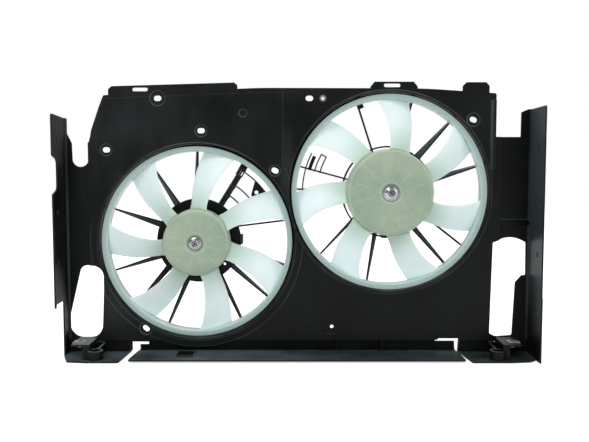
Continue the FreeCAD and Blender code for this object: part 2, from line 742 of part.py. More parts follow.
def make_commutator(side):
    y0 = core_front + core_length + end_turn_length + 0.5
    body = tube(side.x, side.z, commutator_r, shaft_r + seat_gap, y0, y0 + commutator_length)
    slits = [turned(block(side.x + commutator_r - 1.5, side.x + commutator_r + 1, y0 - 1, y0 + commutator_length + 1,
                          side.z - 0.25, side.z + 0.25), side.x, side.z, 30 * i) for i in range(12)]
    return body.cut(Part.makeCompound(slits))


def brush_level():
    return core_front + core_length + end_turn_length + 0.5 + commutator_length / 2


def brush_ends(side):
    start = commutator_r + brush_gap
    stop = start + (side.can_r - can_wall - start) * 0.5
    return start, stop


def make_card(side):
    y = brush_level()
    outer = side.can_r - can_wall - seat_gap
    half = brush_width / 2
    card = tube(side.x, side.z, outer, commutator_r + 3, y + half, y + half + card_wall)
    start, stop = brush_ends(side)
    for k in (0, 1):
        house = block(side.x + start + 4, side.x + outer - 1.5, y - half - 1.5, y + half + 1,
                      side.z - half - 1.5, side.z + half + 1.5)
        bore = block(side.x + start, side.x + outer - 3.5, y - half, y + half,
                     side.z - half - seat_gap, side.z + half + seat_gap)
        card = card.fuse(turned(house, side.x, side.z, 180 * k)).cut(turned(bore, side.x, side.z, 180 * k))
    return card


def make_brushes(side):
    y, half = brush_level(), brush_width / 2
    start, stop = brush_ends(side)
    one = block(side.x + start, side.x + stop, y - half + seat_gap, y + half - seat_gap,
                side.z - half, side.z + half)
    return Part.makeCompound([turned(one, side.x, side.z, 180 * k) for k in (0, 1)])


def make_brush_springs(side):
    y = brush_level()
    start, stop = brush_ends(side)
    end = side.can_r - can_wall - seat_gap - 3.6
    coil = Part.makeCylinder(2.2, end - stop - seat_gap, FreeCAD.Vector(side.x + stop + seat_gap, y, side.z),
                             FreeCAD.Vector(1, 0, 0))
    return Part.makeCompound([turned(coil, side.x, side.z, 180 * k) for k in (0, 1)])


def connector_box(side):
    """Start and end radius, half width and depths of the plug socket beside the can."""
    start = side.can_r + 0.3
    return start, side.mount_r + 2.0, 8.0, bracket_front() + bracket_wall + 1.0, can_back - 6


def make_connector(side):
    start, end, half, y0, y1 = connector_box(side)
    body = block(side.x + start, side.x + end, y0, y1, side.z - half, side.z + half)
    mouth = block(side.x + end - 20, side.x + end - 2, y0 + 2, y1 + 1, side.z - half + 2, side.z + half - 2)
    return turned(body.cut(mouth), side.x, side.z, side.connector)


def make_terminals(side):
    start, end, half, y0, y1 = connector_box(side)
    blades = [block(side.x + end - 11.4, side.x + end - 10.6, y0 + 2, y1 - 3, side.z + k * 3 - 1.4, side.z + k * 3 + 1.4)
              for k in (-1, 1)]
    return turned(Part.makeCompound(blades), side.x, side.z, side.connector)


# Fasteners of the shroud
def make_clips():
    """Spring clip nuts that grip the shelves: two leaves, a bend at the outer edge and a threaded collar."""
    made = []
    for mirror in (-1, 1):
        x = mirror * nut_spacing / 2
        lower = shelf_top - shelf_wall
        edge = x + mirror * 10.0
        far = x - mirror * 6.0
        outer = edge + mirror * (clip_leaf + 0.3)
        x0, x1 = sorted((far, outer))
        top = block(x0, x1, -clip_width / 2, clip_width / 2, shelf_top, shelf_top + clip_leaf)
        bottom = block(x0, x1, -clip_width / 2, clip_width / 2, lower - clip_leaf, lower)
        e0, e1 = sorted((edge + mirror * 0.3, outer))
        bend = block(e0, e1, -clip_width / 2, clip_width / 2, lower - clip_leaf, shelf_top + clip_leaf)
        collar = post(x, 0, thread_r + 1.5, -thread_length / 2, lower - clip_leaf / 2)
        clip = joined([top, bottom, bend, collar])
        clip = clip.cut(post(x, 0, thread_r, -thread_length, lower + 0.1))
        made.append(clip.cut(post(x, 0, thread_r + 0.8, shelf_top - 0.5, shelf_top + 2)))
    return Part.makeCompound(made)


def make_insert():
    return tube(41.9, upper_slot_z, insert_r, insert_bore_r, plate_front - barrel_lip, plate_back + 6)


def main():
    save("shroud", make_shroud())
    save("clip_nuts", make_clips())
    save("threaded_insert", make_insert())
    for side in (left, right):
        name = side.name
        save(f"{name}_fan", make_fan(side))
        save(f"{name}_fan_nut", make_nut(side))
        save(f"{name}_fan_washer", tube(side.x, side.z, recess_r - 0.8, shaft_r - 0.5 + seat_gap,
                                        recess_floor - washer_wall, recess_floor))
        save(f"{name}_shaft", make_shaft(side))
        save(f"{name}_armature_core", make_core(side))
        save(f"{name}_windings", make_windings(side))
        save(f"{name}_commutator", make_commutator(side))
        save(f"{name}_motor_can", make_can(side))
        save(f"{name}_motor_end_plate", make_end_plate(side))
        save(f"{name}_motor_bracket", make_bracket(side))
        save(f"{name}_motor_screws", make_screws(side))
        save(f"{name}_magnets", make_magnets(side))
        save(f"{name}_front_bush", make_bush(side, "front"))
        save(f"{name}_rear_bush", make_bush(side, "rear"))
        save(f"{name}_brush_card", make_card(side))
        save(f"{name}_brushes", make_brushes(side))
        save(f"{name}_brush_springs", make_brush_springs(side))
        save(f"{name}_connector", make_connector(side))
        save(f"{name}_terminals", make_terminals(side))


main()
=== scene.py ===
import json
import math

import bpy
from mathutils import Matrix, Vector


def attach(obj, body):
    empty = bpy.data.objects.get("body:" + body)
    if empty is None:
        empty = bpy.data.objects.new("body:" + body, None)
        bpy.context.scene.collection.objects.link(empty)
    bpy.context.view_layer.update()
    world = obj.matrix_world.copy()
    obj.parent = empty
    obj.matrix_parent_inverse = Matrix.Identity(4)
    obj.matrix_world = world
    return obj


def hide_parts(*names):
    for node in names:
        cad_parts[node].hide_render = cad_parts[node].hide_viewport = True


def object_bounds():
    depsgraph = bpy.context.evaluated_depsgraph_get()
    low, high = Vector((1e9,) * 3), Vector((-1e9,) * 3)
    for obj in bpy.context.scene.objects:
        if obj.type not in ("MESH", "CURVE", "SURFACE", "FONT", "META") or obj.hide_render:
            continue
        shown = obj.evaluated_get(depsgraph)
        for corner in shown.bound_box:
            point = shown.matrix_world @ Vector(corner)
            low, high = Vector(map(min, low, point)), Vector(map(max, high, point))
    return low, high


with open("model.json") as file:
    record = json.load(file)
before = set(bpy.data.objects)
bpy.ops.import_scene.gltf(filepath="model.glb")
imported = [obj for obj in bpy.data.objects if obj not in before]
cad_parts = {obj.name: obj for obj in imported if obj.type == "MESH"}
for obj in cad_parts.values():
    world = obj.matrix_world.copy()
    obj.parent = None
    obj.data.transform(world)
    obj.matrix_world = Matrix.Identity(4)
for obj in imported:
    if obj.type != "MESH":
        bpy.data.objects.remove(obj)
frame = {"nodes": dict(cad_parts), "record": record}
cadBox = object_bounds()
bpy.ops.object.select_all(action="DESELECT")
print("frame loaded, CAD box", [round(v, 4) for corner in cadBox for v in corner])

# camera, at the photograph's height and tilt
cameraPlace = {"x": -0.003, "y": -1.1666, "z": 0.285, "tilt": 85.7, "lens": 45.84}
bpy.ops.object.camera_add(
    location=(cameraPlace["x"], cameraPlace["y"], cameraPlace["z"]),
    rotation=(math.radians(cameraPlace["tilt"]), 0, 0),
)
camera = bpy.context.object
camera.data.lens = cameraPlace["lens"]
camera.data.sensor_width = 36
bpy.context.scene.camera = camera
bpy.context.scene.view_settings.view_transform = "Standard"


# shader maths: one class wraps a socket, and python operators add the nodes
class Sock:
    def __init__(self, tree, socket):
        self.tree = tree
        self.socket = socket

    def wire(self, value, target):
        if isinstance(value, Sock):
            self.tree.links.new(value.socket, target)
        else:
            target.default_value = value

    def node(self, kind, settings=None, values=None, out=0):
        made = self.tree.nodes.new(kind)
        for name, value in (settings or {}).items():
            setattr(made, name, value)
        for name, value in (values or {}).items():
            self.wire(value, made.inputs[name])
        return Sock(self.tree, made.outputs[out])

    def maths(self, how, other=0.0):
        return self.node("ShaderNodeMath", {"operation": how}, {0: self, 1: other})

    def __add__(self, other):
        return self.maths("ADD", other)

    __radd__ = __add__

    def __sub__(self, other):
        return self.maths("SUBTRACT", other)

    def __rsub__(self, other):
        return self.node("ShaderNodeMath", {"operation": "SUBTRACT"}, {0: other, 1: self})

    def __mul__(self, other):
        return self.maths("MULTIPLY", other)

    __rmul__ = __mul__

    def __truediv__(self, other):
        return self.maths("DIVIDE", other)

    def __pow__(self, other):
        return self.maths("POWER", other)

    # 0 below the edge, 1 above it, smooth between
    def over(self, edge, soft):
        return self.node(
            "ShaderNodeMapRange", {"interpolation_type": "SMOOTHSTEP"},
            {"Value": self, "From Min": edge - soft, "From Max": edge + soft},
        )

    # a colour between two colours, by this number
    def mixed(self, low, high):
        return self.node("ShaderNodeMix", {"data_type": "RGBA"}, {0: self, 6: low, 7: high}, out=2)

    def split(self, axis):
        return self.node("ShaderNodeSeparateXYZ", None, {"Vector": self}, out="XYZ".index(axis))


# one finish: a principled shader whose colour, roughness and bump follow the piece's own coordinates
def makeFinish(name, look, paint):
    finish = bpy.data.materials.new(name)
    finish.use_nodes = True
    tree = finish.node_tree
    shader = tree.nodes["Principled BSDF"]
    for socket, value in look.items():
        shader.inputs[socket].default_value = value
    place = tree.nodes.new("ShaderNodeTexCoord")
    paint(Sock(tree, place.outputs["Object"]), shader)
    return finish


def grain(place, scale, detail=3.0, rough=0.55):
    return place.node(
        "ShaderNodeTexNoise", None, {"Vector": place, "Scale": scale, "Detail": detail, "Roughness": rough}
    )


def bumped(place, height, shader, strength, depth):
    made = place.node(
        "ShaderNodeBump", None, {"Height": height, "Strength": strength, "Distance": depth}
    )
    place.wire(made, shader.inputs["Normal"])


# the same place with each axis scaled, for drawn, spun or flowed grain
def stretched(place, sizes):
    return place.node("ShaderNodeMapping", {"vector_type": "POINT"}, {"Vector": place, "Scale": sizes})


# bosses: x, z and rim radius of a painted highlight ring; mouths: x, z, radius and strength of the painted highlight
# line round each fan's opening
shroudLook = {
    # gleam, edge, rim, top, slope, wall and the foot-top colour are painted light: paler tones put where the light
    # falls
    "black": (0.0021, 0.0026, 0.0028, 1), "sheen": (0.0058, 0.0074, 0.0078, 1),
    "dust": (0.05, 0.056, 0.058, 1), "edge": (0.045, 0.054, 0.056, 1), "gleam": (0.021, 0.027, 0.027, 1),
    "rim": (0.085, 0.098, 0.098, 1), "footTopSheen": (0.12, 0.155, 0.165, 1), "top": (0.085, 0.112, 0.122, 1),
    "slope": (0.052, 0.072, 0.082, 1), "wall": (0.050, 0.069, 0.078, 1),
    "bosses": [(-0.2195, 0.3895, 0.0125), (-0.302, 0.3084, 0.010), (-0.1513, 0.3386, 0.010),
               (-0.034, 0.2755, 0.0095), (0.2804, 0.3559, 0.011), (-0.2427, 0.0211, 0.011),
               (-0.0847, 0.3663, 0.0069)],
    "mouths": [(-0.160, 0.161, 0.1592, 0.9), (-0.160, 0.161, 0.1700, 0.45), (0.149, 0.2405, 0.1627, 0.9)],
    "roughness": 0.40, "grainScale": 1500, "flowScale": 22, "round": 0.0009,
}


# glass-filled black with random tone and dust specks; painted light: sheen patches, highlights on convex edges, boss
# rims and fan openings, and paler faces where the light falls: faces turned up, the slanted backs of the vanes and
# the right wing's inner wall
def paintShroud(place, shader):
    flow = grain(stretched(place, (1.0, 1.6, 0.35)), shroudLook["flowScale"], 4)
    cloud = grain(place, 7, 2)
    skin = grain(place, shroudLook["grainScale"], 2)
    facing = place.node("ShaderNodeNewGeometry", None, None, out=1)
    up, back, side = facing.split("Z"), facing.split("Y"), facing.split("X")
    x, y, z = place.split("X"), place.split("Y"), place.split("Z")
    body = (flow * 0.5 + cloud * 0.5).over(0.5, 0.16).mixed(shroudLook["black"], shroudLook["sheen"])
    # painted sheen: lighter patches on the upper left, along the ridge between the fans and low on the left, where
    # the light falls
    upper = (z - x * 0.5).over(0.42, 0.16) * (1 - (z - x * 0.2).over(0.455, 0.03) * 0.5)
    ridge = (1 - (x + 0.014).maths("ABSOLUTE").over(0.010, 0.007)) * z.over(0.235, 0.03) * (1 - z.over(0.33, 0.05))
    low = (1 - x.over(-0.262, 0.02)) * x.over(-0.31, 0.01) * (1 - z.over(0.30, 0.09)) * z.over(0.03, 0.03)
    glow = (upper * 0.8).maths("MAXIMUM", ridge).maths("MAXIMUM", low * 0.7)
    body = (glow * (cloud * 0.6 + flow * 0.4).over(0.46, 0.18)).mixed(body, shroudLook["gleam"])
    # painted highlight: convex edges are mixed towards a paler colour, as if they caught the light
    edgeOcclusion = place.node(
        "ShaderNodeAmbientOcclusion", {"inside": True, "samples": 8}, {"Distance": 0.0016}, out=1)
    edgeHighlight = (1 - edgeOcclusion.over(0.62, 0.25)) * cloud.over(0.4, 0.25) * 0.75
    body = edgeHighlight.mixed(body, shroudLook["edge"])
    front = (0 - back).over(0.6, 0.1) * (1 - y.over(0.034, 0.001))
    # painted highlight: a pale ring at each boss rim, brighter on its lower left side, as lit from the upper left
    for rimX, rimZ, reach in shroudLook["bosses"]:
        far = ((x - rimX) ** 2 + (z - rimZ) ** 2) ** 0.5
        lit = 0.35 + (rimZ - z + (rimX - x)).over(0, 0.012) * 0.65
        line = (1 - (far - reach + 0.0004).maths("ABSOLUTE").over(0.0006, 0.0005)) * lit
        body = (line * front).mixed(body, shroudLook["rim"])
    # painted highlight: pale lines round each fan's opening and, on the left, a collar crescent kept to its lower
    # part
    for rimX, rimZ, reach, level in shroudLook["mouths"]:
        far = ((x - rimX) ** 2 + (z - rimZ) ** 2) ** 0.5
        line = (1 - (far - reach).maths("ABSOLUTE").over(0.0007, 0.0006)) * cloud.over(0.42, 0.22) * level
        line = line * (1 - (z - rimZ).over(0.03, 0.03) * (reach > 0.165))
        body = (line * front).mixed(body, shroudLook["rim"])
    # painted light: the slanted vane backs that face up and to the left are paler, as lit from the upper left
    slope = y.over(0.0610, 0.0002) * (back + 0.97).over(0.012, 0.01) * (1 - back.over(0.5, 0.2))
    body = (slope * (up - side + 0.5).over(0.35, 0.5)).mixed(body, shroudLook["slope"])
    # painted sheen: up-facing faces at the front are paler where the light falls, fading towards the lower right; the
    # drain pocket is left dark, in shade
    shelf = up.over(0.8, 0.1) * (1 - y.over(0.034, 0.002)) * (flow * 0.5 + cloud * 0.5).over(0.42, 0.2)
    shelf = shelf * (1 - (x - z * 3).over(0.06, 0.14) * 0.55)
    across, deep = (x + 0.176).maths("ABSOLUTE"), (y - 0.007).maths("ABSOLUTE")
    pocket = (1 - across.over(0.0128, 0.0006)) * (1 - deep.over(0.017, 0.0006))
    shelf = shelf * (1 - pocket)
    body = shelf.mixed(body, shroudLook["top"])
    # painted sheen: the up-facing faces of the left foot are paler, as lit from above
    foot = up.over(0.8, 0.1) * (1 - x.over(-0.285, 0.01)) * z.over(-0.010, 0.002) * (1 - z.over(0.02, 0.004))
    body = foot.mixed(body, shroudLook["footTopSheen"])
    # painted light: the right wing's inner wall, facing left, is paler and bluer in its upper part, as lit from the
    # left
    inner = (0 - side).over(0.85, 0.08) * x.over(0.36, 0.004) * (z + cloud * 0.2).over(0.22, 0.16)
    body = (inner * 0.8).mixed(body, shroudLook["wall"])
    specks = grain(place, 420, 1).over(0.76, 0.04) * 0.35
    place.wire(specks.mixed(body, shroudLook["dust"]), shader.inputs["Base Color"])
    place.wire(cloud * 0.16 + flow * 0.08 + (shroudLook["roughness"] - 0.12), shader.inputs["Roughness"])
    soft = place.node("ShaderNodeBevel", {"samples": 6}, {"Radius": shroudLook["round"]})
    made = place.node("ShaderNodeBump", None, {
        "Height": skin + flow * 0.6, "Strength": 0.22, "Distance": 0.0004, "Normal": soft})
    place.wire(made, shader.inputs["Normal"])


# the two fans: hub cup with inner ribs, seven swept blades and the ring round their tips
fanSizes = {
    "left": {"axis": (-0.160, 0.161), "hub": 52.5, "ring": 153.5, "turn": -1, "start": 74.9, "recess": 11.5},
    "right": {"axis": (0.149, 0.2405), "hub": 68.5, "ring": 157.0, "turn": 1, "start": 88.5, "recess": 13.4},
    "blades": 7, "ribs": 12, "lip": 8.5, "ringWall": 2.0, "ringFront": 35.0, "ringDepth": 24.0,
    "face": 10.5, "edge": 15.5, "back": 45.5, "wall": 2.6, "floor": 12.0, "bossBack": 21.0,
    "rootFront": 21.0, "rootBack": 43.0, "tipFront": 38.0, "tipBack": 57.0, "thick": 3.3,
    "stations": [(-0.04, 12.4, 26.0), (0.0, 12.0, 26.0), (0.33, 9.0, 23.0), (0.6, 6.0, 21.5),
                 (0.85, 2.5, 20.8), (1.0, 0.0, 21.0), (1.04, -0.5, 21.2)],
}


nylonLook = {
    # the hub colour is painted shade, darker than the blades for the light that does not come through it
    "bladeTip": (0.78, 0.925, 0.93, 1), "bladeRoot": (0.56, 0.72, 0.63, 1), "hub": (0.285, 0.375, 0.295, 1),
    "hubPale": (0.385, 0.475, 0.36, 1), "ring": (0.38, 0.50, 0.465, 1), "ribLight": (0.46, 0.555, 0.41, 1),
    "roughness": 0.34, "grainScale": 1100,
}


# natural nylon: greener towards the blade roots, paler out on the blades; the hub is painted darker as shade, with a
# paler painted-light band at its rim and a painted highlight ring round its recess; ribs showing through the hub
def paintNylon(axis, hub, tip):
    def paint(place, shader):
        x = place.split("X") - axis[0]
        z = place.split("Z") - axis[1]
        radius = (x * x + z * z) ** 0.5
        cloud = grain(place, 18, 3)
        flow = grain(stretched(place, (1.0, 0.4, 1.0)), 70, 3)
        reach = (radius - hub) / (tip - hub)
        blades = (reach + cloud * 0.3 - 0.15).over(0.3, 0.32).mixed(nylonLook["bladeRoot"], nylonLook["bladeTip"])
        angle = z.maths("ARCTAN2", x) * (fanSizes["ribs"] / (2 * math.pi))
        fold = (angle.maths("FRACT") - 0.5).maths("ABSOLUTE") * (2 * math.pi / fanSizes["ribs"]) * radius
        ribs = (1 - fold.over(0.0010, 0.0012)) * radius.over(hub * 0.36, hub * 0.1)
        ribs = ribs * (1 - radius.over(hub * 0.84, hub * 0.1)) * grain(place, 38, 1).over(0.47, 0.14)
        # painted highlight: a pale ring round the hub's recess, stronger on its lower side
        disc = (radius - 0.0165).maths("ABSOLUTE")
        ring = (1 - disc.over(0.0012, 0.0022)) * (0.35 + (0 - z).over(0.004, 0.012) * 0.5)
        # painted shade: the hub's face is much darker than the blades
        core = (cloud * 0.7 + flow * 0.3).over(0.5, 0.2).mixed(nylonLook["hub"], nylonLook["hubPale"])
        core = (ribs * 0.5).maths("MAXIMUM", ring).mixed(core, nylonLook["ribLight"])
        # painted light: a paler band at the hub's rim
        core = (radius.over(hub * 0.95, hub * 0.035) * 0.8).mixed(core, nylonLook["ribLight"])
        body = radius.over(hub + 0.0022, 0.0016).mixed(core, blades)
        body = radius.over(tip, 0.0015).mixed(body, nylonLook["ring"])
        place.wire(body, shader.inputs["Base Color"])
        place.wire(cloud * 0.12 + flow * 0.06 + (nylonLook["roughness"] - 0.09), shader.inputs["Roughness"])
        bumped(place, grain(place, nylonLook["grainScale"], 2) + flow * 0.5, shader, 0.10, 0.0003)
    return paint


def fanFinish(side):
    size = fanSizes[side]
    look = {"IOR": 1.5, "Subsurface Weight": 0.4, "Subsurface Scale": 1.0,
            "Subsurface Radius": (0.006, 0.007, 0.0065)}
    return makeFinish(side + "FanNylon", look, paintNylon(
        size["axis"], size["hub"] / 1000, (size["ring"] - fanSizes["lip"]) / 1000))


def paintMetal(low, high, scale, sizes, rough, spread, depth=0.0002):
    def paint(place, shader):
        drawn = grain(stretched(place, sizes), scale, 4)
        blot = grain(place, scale * 0.12, 3)
        place.wire((blot * 0.6 + drawn * 0.4).over(0.5, 0.16).mixed(low, high), shader.inputs["Base Color"])
        place.wire(drawn * spread + (rough - spread / 2), shader.inputs["Roughness"])
        bumped(place, drawn, shader, 0.25, depth)
    return paint


# plated steel, painted darker in its hollows as shade
def paintSteel(place, shader):
    paintMetal((0.42, 0.43, 0.45, 1), (0.80, 0.81, 0.83, 1), 420, (1, 0.15, 1), 0.22, 0.14)(place, shader)
    shine = Sock(place.tree, shader.inputs["Base Color"].links[0].from_socket)
    # painted shade: hollows and gaps, found by ambient occlusion, are mixed to near black
    creviceShade = place.node("ShaderNodeAmbientOcclusion", {"samples": 8}, {"Distance": 0.005}, out=1)
    place.wire((1 - creviceShade.over(0.62, 0.26)).mixed(shine, (0.02, 0.021, 0.023, 1)), shader.inputs["Base Color"])


def paintCopper(place, shader):
    turns = place.node(
        "ShaderNodeTexWave", {"wave_type": "BANDS", "bands_direction": "DIAGONAL"},
        {"Vector": place, "Scale": 330.0, "Distortion": 1.2, "Detail": 2.0},
    )
    blot = grain(place, 90, 3)
    body = (turns * 0.5 + blot * 0.5).mixed((0.32, 0.11, 0.05, 1), (0.78, 0.36, 0.17, 1))
    place.wire(body, shader.inputs["Base Color"])
    place.wire(blot * 0.2 + 0.22, shader.inputs["Roughness"])
    bumped(place, turns, shader, 0.6, 0.0006)


def paintLamination(place, shader):
    sheets = place.node(
        "ShaderNodeTexWave", {"wave_type": "BANDS", "bands_direction": "Y"},
        {"Vector": place, "Scale": 600.0, "Distortion": 0.4, "Detail": 1.0},
    )
    blot = grain(place, 120, 3)
    body = (sheets * 0.6 + blot * 0.4).mixed((0.10, 0.10, 0.105, 1), (0.40, 0.40, 0.41, 1))
    place.wire(body, shader.inputs["Base Color"])
    place.wire(blot * 0.2 + 0.35, shader.inputs["Roughness"])
    bumped(place, sheets, shader, 0.5, 0.0004)


def paintDull(low, high, scale, rough, bump=0.3):
    def paint(place, shader):
        blot = grain(place, scale, 4)
        fine = grain(place, scale * 9, 2)
        place.wire((blot * 0.7 + fine * 0.3).over(0.5, 0.16).mixed(low, high), shader.inputs["Base Color"])
        place.wire(fine * 0.14 + (rough - 0.07), shader.inputs["Roughness"])
        bumped(place, fine, shader, bump, 0.0003)
    return paint


finishes = {
    "shroud_plastic": makeFinish("shroudPlastic", {"Specular IOR Level": 0.18}, paintShroud),
    "zinc_yellow": makeFinish("zincYellow", {"Metallic": 0.55}, paintMetal(
        (0.34, 0.32, 0.26, 1), (0.66, 0.62, 0.50, 1), 260, (1, 0.2, 1), 0.34, 0.2)),
    "bright_steel": makeFinish("brightSteel", {"Metallic": 1.0}, paintSteel),
    "motor_steel": makeFinish("motorSteel", {"Metallic": 0.6}, paintMetal(
        (0.020, 0.021, 0.024, 1), (0.060, 0.062, 0.066, 1), 180, (1, 0.12, 1), 0.42, 0.2)),
    "insert_brass": makeFinish("insertBrass", {"Metallic": 1.0}, paintMetal(
        (0.60, 0.55, 0.44, 1), (0.84, 0.80, 0.70, 1), 600, (1, 0.3, 1), 0.28, 0.16)),
    "bronze": makeFinish("bronze", {"Metallic": 0.9}, paintDull(
        (0.28, 0.17, 0.08, 1), (0.52, 0.34, 0.17, 1), 500, 0.5)),
    "ferrite": makeFinish("ferrite", {"Metallic": 0.2}, paintDull(
        (0.03, 0.03, 0.033, 1), (0.09, 0.09, 0.095, 1), 300, 0.62)),
    "lamination_steel": makeFinish("laminationSteel", {"Metallic": 0.9}, paintLamination),
    "copper": makeFinish("copperWire", {"Metallic": 0.8, "Coat Weight": 0.4}, paintCopper),
    "carbon": makeFinish("carbonBrush", {}, paintDull(
        (0.012, 0.012, 0.013, 1), (0.04, 0.04, 0.042, 1), 700, 0.5)),
    "card_plastic": makeFinish("cardBoard", {}, paintDull(
        (0.09, 0.055, 0.03, 1), (0.17, 0.11, 0.06, 1), 200, 0.55)),
    "connector_plastic": makeFinish("connectorPlastic", {}, paintDull(
        (0.012, 0.013, 0.014, 1), (0.03, 0.031, 0.033, 1), 150, 0.42)),
}
print("finishes made:", len(finishes))

slotOf = {row["node"]: row["material_slot"] for row in frame["record"]["subparts"]}
for name, node in frame["nodes"].items():
    slot = slotOf[name]
    finish = fanFinish(name.split("_")[0]) if slot == "fan_nylon" else finishes[slot]
    node.data.materials.clear()
    node.data.materials.append(finish)
print("CAD nodes dressed:", len(slotOf))


# modelling helpers, all in metres; a fan's axis runs along Y through (x, z)
def clearSelection():
    if bpy.context.object and bpy.context.object.mode != "OBJECT":
        bpy.ops.object.mode_set(mode="OBJECT")
    bpy.ops.object.select_all(action="DESELECT")


def pick(piece):
    clearSelection()
    piece.select_set(True)
    bpy.context.view_layer.objects.active = piece


def applyAll(piece):
    pick(piece)
    for modifier in list(piece.modifiers):
        bpy.ops.object.modifier_apply(modifier=modifier.name)


def smoothed(piece, angle=35):
    pick(piece)
    bpy.ops.object.shade_smooth_by_angle(angle=math.radians(angle))
    return piece


def cleaned(piece):
    pick(piece)
    bpy.ops.object.mode_set(mode="EDIT")
    bpy.ops.mesh.select_all(action="SELECT")
    bpy.ops.mesh.remove_doubles(threshold=0.00002)
    bpy.ops.mesh.normals_make_consistent(inside=False)
    bpy.ops.object.mode_set(mode="OBJECT")
    return piece


# a round piece: a closed outline of radius and depth in mm is spun about the axis
def spinPiece(name, axis, outline, steps=96, round=0.0):
    clearSelection()
    bpy.ops.mesh.primitive_circle_add(vertices=len(outline), radius=0.01)
    piece = bpy.context.object
    piece.name = name
    for vertex, (radius, depth) in zip(piece.data.vertices, outline):
        vertex.co = (axis[0] + radius / 1000, depth / 1000, axis[1])
    bpy.ops.object.mode_set(mode="EDIT")
    bpy.ops.mesh.select_all(action="SELECT")
    bpy.ops.mesh.spin(steps=steps, angle=2 * math.pi, center=(axis[0], 0, axis[1]), axis=(0, 1, 0))
    bpy.ops.object.mode_set(mode="OBJECT")
    cleaned(piece)
    if round:
        rounded(piece, round)
    return piece


def rounded(piece, width, angle=40):
    bevel = piece.modifiers.new("rounding", "BEVEL")
    bevel.width = width
    bevel.segments = 2
    bevel.limit_method = "ANGLE"
    bevel.angle_limit = math.radians(angle)
    applyAll(piece)
    return piece


def inMm(place):
    return place[0] * 1000, place[1] * 1000


# turns a mesh about a fan's axis, anticlockwise as seen from the front
def turnMesh(piece, axis, angle):
    there = Matrix.Translation((axis[0], 0, axis[1]))
    piece.data.transform(there @ Matrix.Rotation(math.radians(-angle), 4, "Y") @ there.inverted())
    return piece


def copyTurned(piece, axis, angle):
    copy = piece.copy()
    copy.data = piece.data.copy()
    bpy.context.collection.objects.link(copy)
    turnMesh(copy, axis, angle)
    return copy


def joinPieces(pieces, name):
    pick(pieces[0])
    for piece in pieces[1:]:
        piece.select_set(True)
    bpy.ops.object.join()
    pieces[0].name = name
    return pieces[0]


# a block between two corners in mm
def addBlock(name, low, high, round=0.0):
    clearSelection()
    middle = [(a + b) / 2000 for a, b in zip(low, high)]
    bpy.ops.mesh.primitive_cube_add(size=1, location=middle)
    piece = bpy.context.object
    piece.name = name
    piece.scale = [(b - a) / 1000 for a, b in zip(low, high)]
    bpy.ops.object.transform_apply(location=True, rotation=True, scale=True)
    if round:
        rounded(piece, round)
    return piece


def finishPiece(piece, body, slot, finish, *nodes):
    piece.data.materials.clear()
    piece.data.materials.append(finish)
    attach(piece, body)
    if nodes:
        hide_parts(*nodes)


# sweep and width in degrees at a share of the blade's length, smooth through the stations
def bladeShape(share):
    stops = fanSizes["stations"]
    number = max(i for i in range(len(stops) - 1) if stops[i][0] <= share or i == 0)
    a, b = stops[number], stops[number + 1]
    before = stops[max(number - 1, 0)]
    after = stops[min(number + 2, len(stops) - 1)]
    t = min(max((share - a[0]) / (b[0] - a[0]), 0), 1)
    values = []
    for k in (1, 2):
        slopeA = (b[k] - before[k]) / max(b[0] - before[0], 1e-6)
        slopeB = (after[k] - a[k]) / max(after[0] - a[0], 1e-6)
        gap = b[0] - a[0]
        values.append(
            (2 * t**3 - 3 * t**2 + 1) * a[k] + (t**3 - 2 * t**2 + t) * gap * slopeA
            + (3 * t**2 - 2 * t**3) * b[k] + (t**3 - t**2) * gap * slopeB
        )
    return values


def makeBlade(side):
    size = fanSizes[side]
    hub, tip = size["hub"], size["ring"] - fanSizes["lip"] + fanSizes["ringWall"] / 2
    clearSelection()
    bpy.ops.mesh.primitive_grid_add(x_subdivisions=12, y_subdivisions=22, size=1)
    piece = bpy.context.object
    weights = piece.vertex_groups.new(name="thickness")
    for vertex in piece.data.vertices:
        across = vertex.co.x * 2
        share = (vertex.co.y + 0.5) * 1.05 - 0.03
        sweep, width = bladeShape(share)
        radius = hub + share * (tip - hub)
        flare = math.exp(-max(radius - hub, 0) / 5.0) + 0.6 * math.exp(-max(tip - radius, 0) / 4.0)
        half = radius * math.sin(math.radians(width) / 2) + 3.2 * flare
        along = min(max(share, 0), 1)
        front = fanSizes["rootFront"] + along * (fanSizes["tipFront"] - fanSizes["rootFront"])
        back = fanSizes["rootBack"] + along * (fanSizes["tipBack"] - fanSizes["rootBack"])
        depth = (front + back) / 2 + across * (front - back) / 2 - 0.08 * half * (1 - across**2)
        angle = math.radians(90 - size["turn"] * sweep)
        shift = across * half * size["turn"]
        x = math.cos(angle) * radius - math.sin(angle) * shift
        z = math.sin(angle) * radius + math.cos(angle) * shift
        vertex.co = (size["axis"][0] + x / 1000, (depth + 1.2) / 1000, size["axis"][1] + z / 1000)
        weights.add([vertex.index], min(0.25 + 0.55 * (1 - across**2) + 0.35 * flare, 1), "REPLACE")
    skin = piece.modifiers.new("thickness", "SOLIDIFY")
    skin.thickness = fanSizes["thick"] / 1000
    skin.offset = 0
    skin.vertex_group = "thickness"
    skin.use_even_offset = True
    soft = piece.modifiers.new("softness", "SUBSURF")
    soft.levels = soft.render_levels = 1
    applyAll(piece)
    piece.vertex_groups.clear()
    return cleaned(piece)


